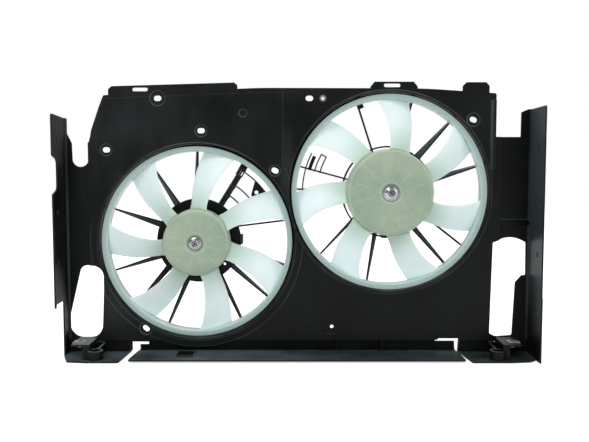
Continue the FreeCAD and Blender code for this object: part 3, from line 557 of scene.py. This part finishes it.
def makeFan(side):
    size = fanSizes[side]
    axis = size["axis"]
    hub, wall = size["hub"], fanSizes["wall"]
    face, edge, back = fanSizes["face"], fanSizes["edge"], fanSizes["back"]
    recess, floor, bossBack = size["recess"], fanSizes["floor"], fanSizes["bossBack"]
    outside = [(4.05, floor), (recess - 0.6, floor), (recess, floor - 0.6), (recess + 0.3, face + 1.6),
               (recess + 0.9, face + 0.5), (recess + 2.0, face + 0.05), (recess + 3.4, face + 0.15)]
    for share in (0.4, 0.5, 0.62, 0.74, 0.86):
        outside.append((hub * share, face + (edge - face - 1.6) * (share * 1.08) ** 1.35))
    for turn in (75, 50, 25, 5):
        a = math.radians(turn)
        outside.append((hub - 5.0 + 4.8 * math.cos(a), edge + 2.6 - 4.8 * math.sin(a) + 0.6))
    outside += [(hub + 0.4, 30), (hub + 1.2, back), (hub + 1.2 - wall, back), (hub + 0.2 - wall, 30),
                (hub - wall - 0.6, edge + 5), (hub - wall - 4, edge + 2.6), (hub * 0.6, face + wall + 3.0),
                (recess + wall + 1, face + wall + 1.4), (recess, floor + wall),
                (9.0, floor + wall + 1.0), (9.0, bossBack), (4.05, bossBack)]
    cup = spinPiece(side + "Hub", axis, outside, steps=120)
    lipWall = fanSizes["ringWall"]
    ringFront, ringBack = fanSizes["ringFront"], fanSizes["ringFront"] + fanSizes["ringDepth"]
    rim, inner = size["ring"], size["ring"] - fanSizes["lip"]
    ring = spinPiece(side + "Ring", axis, [
        (inner, ringFront + 2.2), (inner + 0.3, ringFront + 1.0), (inner + 1.2, ringFront + 0.2),
        (inner + 2.6, ringFront - 0.1), (rim - 1.0, ringFront - 0.45), (rim - 0.2, ringFront - 0.1),
        (rim, ringFront + 0.5), (rim - 0.2, ringFront + 1.2), (rim - 1.0, ringFront + 1.55),
        (inner + lipWall + 1.6, ringFront + 1.9), (inner + lipWall + 0.4, ringFront + 2.6),
        (inner + lipWall, ringFront + 4.0), (inner + lipWall, ringBack - 0.6), (inner + lipWall - 0.5, ringBack),
        (inner + 0.5, ringBack), (inner, ringBack - 0.6),
    ], steps=160)
    blade = makeBlade(side)
    parts = [cup, ring]
    for number in range(fanSizes["blades"]):
        parts.append(copyTurned(blade, axis, size["start"] - 90 + 360 * number / fanSizes["blades"]))
    bpy.data.objects.remove(blade)
    x, z = inMm(axis)
    rib = addBlock("rib", (x + 8.6, 14.8, z - 0.9), (x + hub - wall - 0.4, 21.3, z + 0.9), 0.0004)
    for number in range(fanSizes["ribs"]):
        parts.append(copyTurned(rib, axis, 360 * (number + 0.5) / fanSizes["ribs"]))
    bpy.data.objects.remove(rib)
    fan = joinPieces(parts, side + "_fan_moulding")
    smoothed(fan, 50)
    return fan


for side in ("left", "right"):
    fan = makeFan(side)
    finishPiece(fan, side + "_rotor", "fan_nylon", fanFinish(side), side + "_fan")
    print("fan", side, len(fan.data.polygons), "faces")


# cuts or keeps one piece by another, which is used up
def carve(piece, cutter, how="DIFFERENCE"):
    change = piece.modifiers.new("carve", "BOOLEAN")
    change.operation = how
    change.solver = "EXACT"
    change.object = cutter
    applyAll(piece)
    bpy.data.objects.remove(cutter)
    return piece


def addCylinder(name, place, radius, height, sides, turn=(0, 0, 0)):
    clearSelection()
    bpy.ops.mesh.primitive_cylinder_add(
        vertices=sides, radius=radius / 1000, depth=height / 1000, location=place, rotation=turn)
    piece = bpy.context.object
    piece.name = name
    bpy.ops.object.transform_apply(location=True, rotation=True, scale=True)
    return piece


# a rod along a fan's axis, given by its middle, radius and two depths in mm
def addRod(name, axis, radius, low, high, sides=48):
    place = (axis[0], (low + high) / 2000, axis[1])
    return addCylinder(name, place, radius, high - low, sides, (math.pi / 2, 0, 0))


# a rod standing along Z, in mm
def addUpright(name, x, y, radius, low, high, sides=40):
    return addCylinder(name, (x / 1000, y / 1000, (low + high) / 2000), radius, high - low, sides)


# ridges of a screw thread between two depths, as an outline of radius and depth
def threadRidges(crest, root, low, high, pitch):
    ridges = []
    depth = low
    while depth + pitch <= high:
        ridges += [(root, depth), (crest, depth + pitch * 0.4), (crest, depth + pitch * 0.55)]
        depth += pitch
    return ridges


nutSizes = {"across": 13.0, "height": 6.0, "flange": 9.6, "bore": 3.75, "washer": 1.2, "nose": 3.4, "pitch": 1.0}


# hexagonal flange nut with chamfered corners and a threaded bore
def makeNut(side):
    axis = fanSizes[side]["axis"]
    seat = fanSizes["floor"] - nutSizes["washer"]
    front = seat - nutSizes["height"]
    corner = nutSizes["across"] / 2 / math.cos(math.pi / 6)
    nut = addRod(side + "NutHex", axis, corner, front, seat - 1.4, 6)
    turnMesh(nut, axis, 12 if side == "left" else 40)
    clearSelection()
    spread = (seat - front) * 1.73
    bpy.ops.mesh.primitive_cone_add(
        vertices=72, radius1=(6.2 + spread) / 1000, radius2=0.0062, depth=(seat - front) / 1000,
        location=(axis[0], (seat + front) / 2000, axis[1]), rotation=(math.pi / 2, 0, 0),
    )
    cone = bpy.context.object
    bpy.ops.object.transform_apply(location=True, rotation=True, scale=True)
    carve(nut, cone, "INTERSECT")
    carve(nut, addRod("bore", axis, nutSizes["bore"] + 0.6, front - 1, front + 0.9))
    carve(nut, addRod("bore", axis, nutSizes["bore"] + 0.1, front, seat + 1))
    rounded(nut, 0.00018, 30)
    skirt = nutSizes["flange"]
    flange = spinPiece("flange", axis, [
        (4.2, seat), (skirt - 0.3, seat), (skirt, seat - 0.3), (skirt - 0.1, seat - 1.0), (skirt - 0.6, seat - 1.35),
        (7.2, seat - 1.9), (6.2, seat - 2.2), (4.2, seat - 2.2),
    ], steps=72)
    low, high = front + 0.7, seat - 0.1
    thread = [(4.0, low)] + threadRidges(3.6, nutSizes["bore"], low, high, nutSizes["pitch"]) + [(4.0, high)]
    sleeve = spinPiece("thread", axis, thread, steps=48)
    return smoothed(joinPieces([nut, flange, sleeve], side + "_flange_nut"), 30)


def makeWasher(side):
    axis, outer = fanSizes[side]["axis"], fanSizes[side]["recess"] - 0.8
    back, front = fanSizes["floor"], fanSizes["floor"] - nutSizes["washer"]
    washer = spinPiece(side + "_spring_washer", axis, [
        (3.6, back), (3.6, front), (outer - 1.6, front), (outer - 0.5, front + 0.12),
        (outer - 0.1, front + 0.45), (outer, back - 0.3), (outer - 0.2, back),
    ], steps=72)
    return smoothed(washer, 30)


shaftSizes = {"nose": 3.5, "journal": 4.0, "back": 102.0, "drill": 1.5}


# ground shaft: centre drilling, thread for the nut, shoulder, oil groove and chamfered tail
def makeShaft(side):
    axis = fanSizes[side]["axis"]
    front, shoulder, back = nutSizes["nose"], fanSizes["floor"], shaftSizes["back"]
    nose, journal, drill = shaftSizes["nose"], shaftSizes["journal"], shaftSizes["drill"]
    outline = [(0.0, front + 3.0), (drill * 0.8, front + 2.4), (drill, front + 0.7), (drill + 0.8, front),
               (nose - 0.8, front), (nose - 0.3, front + 0.4)]
    outline += threadRidges(nose - 0.02, nose - 0.45, front + 0.6, shoulder - 0.6, nutSizes["pitch"])
    outline += [(nose - 0.3, shoulder), (journal - 0.3, shoulder), (journal, shoulder + 0.3), (journal, 22.0),
                (journal - 0.25, 22.3), (journal - 0.25, 23.1), (journal, 23.4), (journal, back - 0.8),
                (journal - 0.7, back), (0.0, back)]
    return smoothed(spinPiece(side + "_motor_shaft", axis, outline, steps=48))


for side in ("left", "right"):
    rotor = side + "_rotor"
    finishPiece(makeNut(side), rotor, "bright_steel", finishes["bright_steel"], side + "_fan_nut")
    finishPiece(makeWasher(side), rotor, "bright_steel", finishes["bright_steel"], side + "_fan_washer")
    finishPiece(makeShaft(side), rotor, slotOf[side + "_shaft"], finishes[slotOf[side + "_shaft"]], side + "_shaft")
print("nuts, washers and shafts made")


# motors: deep-drawn can, pressed end bell, three-eared bracket, screws and plug socket
motorSizes = {
    "left": {"can": 38.0, "ears": -30.0, "plug": 0.0, "mount": 69.0},
    "right": {"can": 46.0, "ears": 20.0, "plug": -90.0, "mount": 75.0},
    "front": 27.5, "back": 100.0, "nose": 103.0, "wall": 2.0, "bush": 8.05, "shaftGap": 7.0, "plate": 25.0,
    "vents": 6, "crimps": 4, "bracket": 66.5, "bracketWall": 2.5, "earRound": 7.0, "headRound": 5.0,
    "bellRibs": 6, "ears": 3, "socketFront": 70.0, "socketBack": 94.0,
}


def makeCan(side):
    size = motorSizes[side]
    axis, r = fanSizes[side]["axis"], size["can"]
    front, back, nose, wall = motorSizes["front"], motorSizes["back"], motorSizes["nose"], motorSizes["wall"]
    seat, hole = motorSizes["bush"], motorSizes["shaftGap"]
    can = spinPiece(side + "Can", axis, [
        (r - wall, front), (r - 0.4, front), (r, front + 0.5), (r, front + 3.0), (r - 0.5, front + 3.8),
        (r - 0.5, front + 5.6), (r, front + 6.4), (r, 64.0), (r, 72.0), (r - 0.6, 73.0), (r - 0.6, 77.0),
        (r, 78.0), (r, back - 6.0), (r - 0.7, back - 3.0), (r - 2.2, back - 1.0), (r - 4.6, back - 0.1),
        (r - 7.0, back), (r - 7.6, back - 0.9), (r - 11.0, back - 0.9), (r - 11.6, back), (seat + 7.0, back),
        (seat + 5.0, back + 0.6), (seat + 4.2, nose - 0.6), (seat + 3.4, nose), (hole + 0.6, nose),
        (hole, nose - 0.5), (hole, nose - wall), (seat, nose - wall), (seat, nose - 11.0),
        (seat + 2.0, nose - 11.0), (seat + 3.0, back - wall), (r - wall - 2.5, back - wall),
        (r - wall, back - wall - 3.0),
    ], steps=128)
    for number in range(motorSizes["vents"]):
        x, z = inMm(axis)
        vent = addBlock("vent", (x + seat + 9.0, back - 6.0, z - 2.2), (x + r - 8.5, back + 2.0, z + 2.2), 0.0012)
        turnMesh(vent, axis, 360 * (number + 0.5) / motorSizes["vents"])
        carve(can, vent)
    parts = [can]
    for number in range(motorSizes["crimps"]):
        crimp = addBlock("crimp", (x + r - 4.2, 24.2, z - 3.4), (x + r - 0.3, front + 0.6, z + 3.4), 0.0007)
        turnMesh(crimp, axis, 45 + 90 * number)
        parts.append(crimp)
    return smoothed(joinPieces(parts, side + "_drawn_can"))


# the bell's face carries pressed ribs and four notches that take the can's crimps
def makeEndBell(side):
    size = motorSizes[side]
    axis, r = fanSizes[side]["axis"], size["can"]
    front, seat = motorSizes["plate"], motorSizes["bush"]
    bell = spinPiece(side + "Bell", axis, [
        (6.0, front - 2.0), (seat + 3.4, front - 2.0), (seat + 4.2, front - 1.6), (seat + 6.0, front),
        (r * 0.60, front), (r * 0.62, front + 0.5), (r * 0.78, front + 0.5), (r * 0.80, front),
        (r - 0.5, front), (r, front + 0.5), (r, front + 2.4), (seat + 2.0, front + 2.4), (seat + 2.0, front + 9.0),
        (seat, front + 9.0), (seat, front), (6.0, front),
    ], steps=112)
    parts = [bell]
    x, z = inMm(axis)
    for number in range(motorSizes["bellRibs"]):
        rib = addBlock("rib", (x + seat + 5.6, front - 0.8, z - 1.2), (x + r * 0.58, front + 0.4, z + 1.2), 0.0004)
        turnMesh(rib, axis, 60 * number + 30)
        parts.append(rib)
    for number in range(motorSizes["crimps"]):
        notch = addBlock("notch", (x + r - 4.5, front - 1.0, z - 3.7), (x + r + 1.0, front + 0.8, z + 3.7))
        turnMesh(notch, axis, 45 + 90 * number)
        carve(bell, notch)
    return smoothed(joinPieces(parts, side + "_end_bell"))


def earPlaces(side):
    size = motorSizes[side]
    return [(90 + size["ears"] + 120 * number, size["can"] + 9.0) for number in range(motorSizes["ears"])]


def makeBracket(side):
    size = motorSizes[side]
    axis, r = fanSizes[side]["axis"], size["can"]
    low, high = motorSizes["bracket"], motorSizes["bracket"] + motorSizes["bracketWall"]
    x, z = inMm(axis)
    bracket = addRod(side + "Bracket", axis, r + 4.0, low, high, 128)
    for angle, reach in earPlaces(side):
        ear = addRod("ear", (axis[0] + reach / 1000, axis[1]), motorSizes["earRound"], low, high, 40)
        arm = addBlock("arm", (x + r - 2.0, low, z - 7.0), (x + reach, high, z + 7.0))
        for part in (ear, arm):
            turnMesh(part, axis, angle)
            carve(bracket, part, "UNION")
    carve(bracket, addRod("bore", axis, r + 0.06, low - 1, high + 1, 128))
    for angle, reach in earPlaces(side):
        hole = addRod("hole", (axis[0] + reach / 1000, axis[1]), 2.9, low - 1, high + 1, 32)
        turnMesh(hole, axis, angle)
        carve(bracket, hole)
    rounded(bracket, 0.0005, 50)
    parts = [bracket]
    for angle, reach in earPlaces(side):
        rib = addBlock("rib", (x + r + 0.6, high - 0.3, z - 1.1), (x + reach - 5.8, high + 1.2, z + 1.1), 0.0005)
        turnMesh(rib, axis, angle)
        parts.append(rib)
    return smoothed(joinPieces(parts, side + "_motor_ears"))


# pan-head screws with a cross recess and a threaded shank
def makeScrews(side):
    axis = fanSizes[side]["axis"]
    under = motorSizes["bracket"] + motorSizes["bracketWall"]
    screws = []
    for angle, reach in earPlaces(side):
        place = (axis[0] + reach / 1000, axis[1])
        x, z = inMm(place)
        head = motorSizes["headRound"]
        shank = [(0.0, under - 9.0), (1.6, under - 8.6)] + threadRidges(2.12, 1.7, under - 8.4, under - 0.4, 0.9)
        screw = spinPiece("screw", place, shank + [
            (2.1, under), (head - 0.2, under), (head, under + 0.4), (head, under + 1.6), (head - 0.5, under + 2.8),
            (head - 1.6, under + 3.6), (1.5, under + 4.0), (0.0, under + 4.0),
        ], steps=40)
        for turn in (0, 90):
            slot = addBlock("slot", (x - 2.4, under + 2.2, z - 0.55), (x + 2.4, under + 5.0, z + 0.55))
            turnMesh(slot, place, turn + angle)
            carve(screw, slot)
        turnMesh(screw, axis, angle)
        screws.append(screw)
    return smoothed(joinPieces(screws, side + "_ear_screws"))


# plug socket beside the can: open mouth, keying rib, latch ramp and side ribs
def makeSocket(side):
    size = motorSizes[side]
    axis = fanSizes[side]["axis"]
    x, z = inMm(axis)
    start, end = x + size["can"] + 0.3, x + size["mount"] + 2.0
    low, high = motorSizes["socketFront"], motorSizes["socketBack"]
    socket = addBlock(side + "Socket", (start, low, z - 8.0), (end, high, z + 8.0), 0.0009)
    carve(socket, addBlock("mouth", (end - 20.0, low + 2.0, z - 6.0), (end - 2.0, high + 2.0, z + 6.0), 0.0005))
    parts = [socket]
    parts.append(addBlock("key", (end - 17.0, low + 1.5, z + 4.6), (end - 14.6, high - 0.6, z + 6.4), 0.0003))
    parts.append(addBlock("latch", (end - 12.6, high - 7.5, z - 9.0), (end - 7.4, high - 3.0, z - 7.4), 0.0005))
    for foot in (low + 4.0, low + 8.0):
        parts.append(addBlock("sideRib", (end - 19.0, foot, z + 7.4), (end - 1.4, foot + 1.4, z + 8.6), 0.0004))
    socket = joinPieces(parts, side + "_plug_socket")
    turnMesh(socket, axis, size["plug"])
    return smoothed(socket)


for side in ("left", "right"):
    for make, node in ((makeCan, "motor_can"), (makeEndBell, "motor_end_plate"), (makeBracket, "motor_bracket"),
                       (makeScrews, "motor_screws"), (makeSocket, "connector")):
        slot = slotOf[side + "_" + node]
        finishPiece(make(side), "shroud", slot, finishes[slot], side + "_" + node)
    print("motor dressed:", side)


# spring clip nuts: two leaves round the shelf, a flared mouth and a drawn collar with its thread
clipSizes = {"spacing": 680.0, "top": 6.0, "bottom": 3.0, "leaf": 1.0, "width": 16.0, "thread": 3.0}


def makeClip(mirror):
    middle = mirror * clipSizes["spacing"] / 2
    top, bottom, leaf = clipSizes["top"], clipSizes["bottom"], clipSizes["leaf"]
    half = clipSizes["width"] / 2
    edge, far = middle + mirror * 10.3, middle - mirror * 6.0

    def leafBlock(name, a, b, low, high, inset=0.0):
        x0, x1 = sorted((a, b))
        return addBlock(name, (x0, -half + inset, low), (x1, half - inset, high), 0.00025)

    upper = leafBlock("upper", far, edge + mirror * 0.5, top, top + leaf)
    carve(upper, addUpright("hole", middle, 0, 3.9, top - 1, top + 2))
    lower = leafBlock("lower", far - mirror * 1.5, edge + mirror * 0.5, bottom - leaf, bottom)
    carve(lower, addUpright("hole", middle, 0, clipSizes["thread"] + 0.45, bottom - 3, bottom + 1))
    bend = leafBlock("bend", edge, edge + mirror * leaf, bottom - leaf, top + leaf)
    lip = leafBlock("lip", far - mirror * 1.6, far + mirror * 0.4, top + 0.2, top + leaf + 0.7, 1.5)
    ring = addUpright("ring", middle, 0, 5.0, top + leaf - 0.2, top + leaf + 0.35)
    carve(ring, addUpright("hole", middle, 0, 3.9, top, top + 3))
    collar = spinPiece("collar", (middle / 1000, 0.0), [
        (3.0, -2.0), (4.1, -2.0), (4.5, -1.5), (4.5, 0.8), (4.8, 1.6), (5.4, 2.1), (5.4, 2.3), (3.5, 2.3),
    ] + list(reversed(threadRidges(3.0, 3.4, -1.9, 1.9, 0.8))), steps=40)
    collar.data.transform(Matrix.Rotation(math.pi / 2, 4, "X"))
    cleaned(collar)
    return joinPieces([upper, lower, bend, lip, ring, collar], "clip")


clips = smoothed(joinPieces([makeClip(-1), makeClip(1)], "spring_clip_nuts"))
finishPiece(clips, "shroud", "zinc_yellow", finishes["zinc_yellow"], "clip_nuts")
print("clip nuts made")


# pressed-in threaded insert: flange, knurl and thread
insertSizes = {"x": 41.9, "z": 389.5, "outer": 5.2, "bore": 2.3, "front": 28.5, "back": 38.5, "grooves": 18}


def makeInsert():
    place = (insertSizes["x"] / 1000, insertSizes["z"] / 1000)
    front, back, outer = insertSizes["front"], insertSizes["back"], insertSizes["outer"]
    threads = threadRidges(insertSizes["bore"], insertSizes["bore"] + 0.4, front + 0.8, back - 0.8, 0.8)
    insert = spinPiece("threaded_brass_insert", place, [
        (insertSizes["bore"] + 0.7, front), (outer - 0.3, front), (outer, front + 0.3), (outer, front + 1.4),
        (outer - 0.3, front + 1.7), (outer - 0.3, back - 0.3), (outer - 0.6, back), (insertSizes["bore"] + 0.6, back),
    ] + list(reversed(threads)), steps=64)
    x, z = insertSizes["x"], insertSizes["z"]
    for number in range(insertSizes["grooves"]):
        groove = addBlock(
            "groove", (x + outer - 0.55, front + 2.0, z - 0.25), (x + outer + 1.0, back - 1.0, z + 0.25))
        turnMesh(groove, place, 360 * number / insertSizes["grooves"])
        carve(insert, groove)
    return smoothed(insert, 30)


finishPiece(makeInsert(), "shroud", "insert_brass", finishes["insert_brass"], "threaded_insert")
print("insert made")


# forms of the shroud beside its main moulding: throats behind the fans, stepped lines, slopes and back ribs
shroudSizes = {
    "throatFront": 61.5, "throatBack": 64.0, "throatInset": 3.0, "barrelGap": 3.0, "wall": 2.5,
    "plateFront": 30.0, "plateBack": 32.5, "barrelBack": 67.0, "line": 0.9, "wingFront": 36.0, "rib": 2.0,
    "lines": [
        [(-22.4, 398.5), (-22.4, 284.0), (-12.0, 262.0), (-10.4, 262.0), (-20.8, 284.3), (-20.8, 398.5)],
        [(47.2, 11.4), (66.6, 11.4), (66.6, 12.8), (47.2, 12.8)],
        [(310.9, 216.0), (312.5, 216.0), (312.5, 280.0), (310.9, 280.0)],
    ],
    "gussets": {"left": (50, 75, 100, 125, 222, 318), "right": (30, 150, 218, 240, 262, 285, 307)},
    "ribs": [(-290.0, 3.0, 72.0), (-30.0, 3.0, 72.0), (20.0, 3.0, 134.0), (100.0, 3.0, 86.0),
             (200.0, 3.0, 88.0), (-270.0, 276.0, 393.0), (-60.0, 284.0, 400.0)],
    "crossRib": [20.0, 306.0, 40.0, 42.0],
    "slope": {"corners": [(307.8, 0.3), (316.4, -2.6), (316.4, 0.3)], "low": 278.0, "high": 387.0},
    "ledge": {"corners": [(0.5, 186.0), (-3.0, 188.5), (-3.0, 193.5), (0.5, 198.6)], "left": 326.0, "right": 375.0},
    "folds": [(-368.5, 1, 358.0), (374.5, -1, 371.0)],
    "underside": -16.0, "pocketTop": -13.8, "padTop": -14.1,
    "pocket": [((-191.0, -12.0), (-189.0, 26.0)), ((-163.0, -12.0), (-161.0, 26.0)),
               ((-190.0, -12.0), (-162.0, -10.0)), ((-190.0, 24.0), (-162.0, 26.0))],
    "pads": [((-7.9, 24.0), (37.4, 29.0)), ((89.2, 24.0), (129.6, 29.0)), ((181.3, 24.0), (220.1, 29.0))],
}


# a flat shape in mm, drawn across two axes and drawn out along the third
def addPanel(name, corners, low, high, along="Y", round=0.0):
    clearSelection()
    bpy.ops.mesh.primitive_circle_add(vertices=len(corners), radius=0.01, fill_type="NGON")
    piece = bpy.context.object
    piece.name = name
    for vertex, (a, b) in zip(piece.data.vertices, corners):
        place = {"Y": (a, low, b), "Z": (a, b, low), "X": (low, a, b)}[along]
        vertex.co = [value / 1000 for value in place]
    bpy.ops.object.mode_set(mode="EDIT")
    bpy.ops.mesh.select_all(action="SELECT")
    reach = [(high - low) / 1000 if axis == along else 0 for axis in "XYZ"]
    bpy.ops.mesh.extrude_region_move(TRANSFORM_OT_translate={"value": reach})
    bpy.ops.object.mode_set(mode="OBJECT")
    cleaned(piece)
    if round:
        rounded(piece, round)
    return piece


def makeThroat(side):
    size = fanSizes[side]
    inner, outer = size["ring"] - shroudSizes["throatInset"], size["ring"] + shroudSizes["barrelGap"] + 1.2
    front, back = shroudSizes["throatFront"], shroudSizes["throatBack"]
    throat = spinPiece(side + "Throat", size["axis"], [
        (inner, front + 0.6), (inner + 0.5, front), (outer, front), (outer, back), (inner + 0.5, back),
        (inner, back - 0.6),
    ], steps=144)
    x, z = inMm(size["axis"])
    notch = addBlock("notch", (x - 5.8, front - 2, z - outer - 2), (x + 5.8, back + 2, z - inner + 3), 0.0008)
    carve(throat, notch)
    return smoothed(throat)


def makeBackRibs():
    front, back, rib = shroudSizes["plateBack"] - 0.4, shroudSizes["barrelBack"], shroudSizes["rib"]
    parts = []
    for side, angles in shroudSizes["gussets"].items():
        size = fanSizes[side]
        x, z = inMm(size["axis"])
        start = x + size["ring"] + shroudSizes["barrelGap"] + shroudSizes["wall"] - 0.8
        for angle in angles:
            gusset = addPanel("gusset", [(start, front), (start + 14.0, front), (start, back - 6)],
                              z - rib / 2, z + rib / 2, "Z", 0.0003)
            parts.append(turnMesh(gusset, size["axis"], angle))
    for x, low, high in shroudSizes["ribs"]:
        parts.append(addBlock("rib", (x, front, low), (x + rib, front + 7.0, high), 0.0004))
    left, right, low, high = shroudSizes["crossRib"]
    parts.append(addBlock("rib", (left, front, low), (right, front + 7.0, high), 0.0004))
    return smoothed(joinPieces(parts, "shroud_back_ribs"))


def makeFrontLines():
    plate, line, wing = shroudSizes["plateFront"], shroudSizes["line"], shroudSizes["wingFront"]
    parts = [addPanel("line", corners, plate - line, plate + 0.4, "Y", 0.00025) for corners in shroudSizes["lines"]]
    slope, ledge = shroudSizes["slope"], shroudSizes["ledge"]
    corners = [(x, plate + step) for x, step in slope["corners"]]
    parts.append(addPanel("slope", corners, slope["low"], slope["high"], "Z", 0.0003))
    corners = [(wing + step, z) for step, z in ledge["corners"]]
    parts.append(addPanel("ledge", corners, ledge["left"], ledge["right"], "X", 0.0004))
    for x, way, top in shroudSizes["folds"]:
        near = x - way * 0.4
        parts.append(addPanel("fold", [(near, wing + 0.4), (near, wing - 3.0), (x + way * 3.0, wing + 0.4)],
                              2.0, top, "Z", 0.0003))
    for name, top in (("pocket", shroudSizes["pocketTop"]), ("pads", shroudSizes["padTop"])):
        for low, high in shroudSizes[name]:
            parts.append(addBlock(name, (*low, shroudSizes["underside"]), (*high, top), 0.0004))
    return smoothed(joinPieces(parts, "shroud_front_lines"))


# the broad slanted tray that carries the left motor's cable, with its open box at the barrel
traySizes = {
    "turn": 58.0, "front": 61.0, "start": 68.5, "end": 125.5, "boxStart": 124.5, "boxEnd": 139.0,
    "slant": [(61.3, 3.4), (62.4, 4.6), (68.6, -3.6), (67.6, -4.8)], "clips": (84.5, 102.5),
}


def makeTray():
    axis = fanSizes["left"]["axis"]
    x, z = inMm(axis)
    front, start, end = traySizes["front"], x + traySizes["start"], x + traySizes["end"]
    near, far = x + traySizes["boxStart"], x + traySizes["boxEnd"]
    edge = addBlock("edge", (start, front, z + 3.2), (end, front + 5.0, z + 4.9), 0.0004)
    tray = addPanel("tray", [(y, z + up) for y, up in traySizes["slant"]], start, end, "X", 0.0003)
    box = addBlock("box", (near, front, z - 5.5), (far, front + 7.6, z + 3.5), 0.0005)
    inside = addBlock("inside", (near + 2.0, front - 3.0, z - 3.5), (far - 2.0, front + 11.0, z + 1.5), 0.0004)
    carve(box, inside)
    cheek = addBlock("cheek", (near, front, z + 1.5), (far, front + 5.5, z + 6.5), 0.0004)
    clips = [addBlock("clip", (x + low, front - 0.4, z - 5.6), (x + low + 3.0, front + 5.0, z + 5.0), 0.0003)
             for low in traySizes["clips"]]
    tray = joinPieces([tray, edge, box, cheek] + clips, "left_cable_tray")
    return smoothed(turnMesh(tray, axis, traySizes["turn"]))


def finishForm(piece):
    finishPiece(piece, "shroud", "shroud_plastic", finishes["shroud_plastic"])


finishForm(makeTray())
for side in ("left", "right"):
    finishForm(makeThroat(side))
finishForm(makeBackRibs())
finishForm(makeFrontLines())
print("shroud forms made")


# floor and backdrop: one pale sweep that keeps the object's shadow
stageLook = {
    "floor": (0.80, 0.80, 0.80, 1), "glow": 0.62, "width": 9.0, "depth": 7.0, "behind": 0.6, "gap": 0.0005,
    "world": 0.80, "glossy": 0.26,
}


# how a ray came: from the camera, off a glossy surface or through glass
def rayKinds(tree):
    path = tree.nodes.new("ShaderNodeLightPath")
    eye = Sock(tree, path.outputs["Is Camera Ray"])
    gloss = Sock(tree, path.outputs["Is Glossy Ray"])
    through = Sock(tree, path.outputs["Is Transmission Ray"])
    return eye, gloss, through


def makeStage():
    clearSelection()
    bpy.ops.mesh.primitive_plane_add(size=1, location=(0, stageLook["behind"], cadBox[0].z - stageLook["gap"]))
    floor = bpy.context.object
    floor.name = "floor"
    floor.scale = (stageLook["width"], stageLook["depth"], 1)
    bpy.ops.object.transform_apply(location=True, rotation=True, scale=True)
    paper = bpy.data.materials.new("palePaper")
    paper.use_nodes = True
    tree = paper.node_tree
    shader = tree.nodes["Principled BSDF"]
    shader.inputs["Base Color"].default_value = stageLook["floor"]
    shader.inputs["Roughness"].default_value = 0.9
    shader.inputs["Specular IOR Level"].default_value = 0.1
    shader.inputs["Emission Strength"].default_value = stageLook["glow"]
    eye, gloss, through = rayKinds(tree)
    seen = eye.maths("MAXIMUM", gloss * stageLook["glossy"]).maths("MAXIMUM", through)
    eye.wire(seen.mixed((0, 0, 0, 1), (1, 1, 1, 1)), shader.inputs["Emission Color"])
    floor.data.materials.append(paper)


# white behind the object, and a softer level in its reflections and as light
def makeWorld():
    world = bpy.data.worlds.new("studio")
    bpy.context.scene.world = world
    world.use_nodes = True
    tree = world.node_tree
    back = tree.nodes["Background"]
    eye, gloss, through = rayKinds(tree)
    level = gloss * (stageLook["glossy"] - stageLook["world"]) + stageLook["world"]
    eye.wire(eye.maths("MAXIMUM", through).maths("MAXIMUM", level), back.inputs["Strength"])
    back.inputs["Color"].default_value = (1, 1, 1, 1)


makeStage()
makeWorld()

lamps = {
    "keyLamp": {"place": (-0.9, -1.5, 1.7), "size": (1.4, 1.0), "power": 13},
    "fillLamp": {"place": (1.5, -1.2, 0.8), "size": (1.0, 1.4), "power": 6},
    "backLamp": {"place": (0.2, 1.6, 1.4), "size": (2.0, 1.2), "power": 12},
}
lampAim = (0, 0, 0.2)


def addLamp(name, place, size, power):
    bpy.ops.object.light_add(type="AREA", location=place)
    lamp = bpy.context.object
    lamp.name = name
    lamp.data.shape = "RECTANGLE"
    lamp.data.size = size[0]
    lamp.data.size_y = size[1]
    lamp.data.energy = power
    lamp.rotation_euler = (Vector(lampAim) - Vector(place)).to_track_quat("-Z", "Y").to_euler()


for name, lamp in lamps.items():
    addLamp(name, lamp["place"], lamp["size"], lamp["power"])
print("stage and lamps made:", len(lamps))
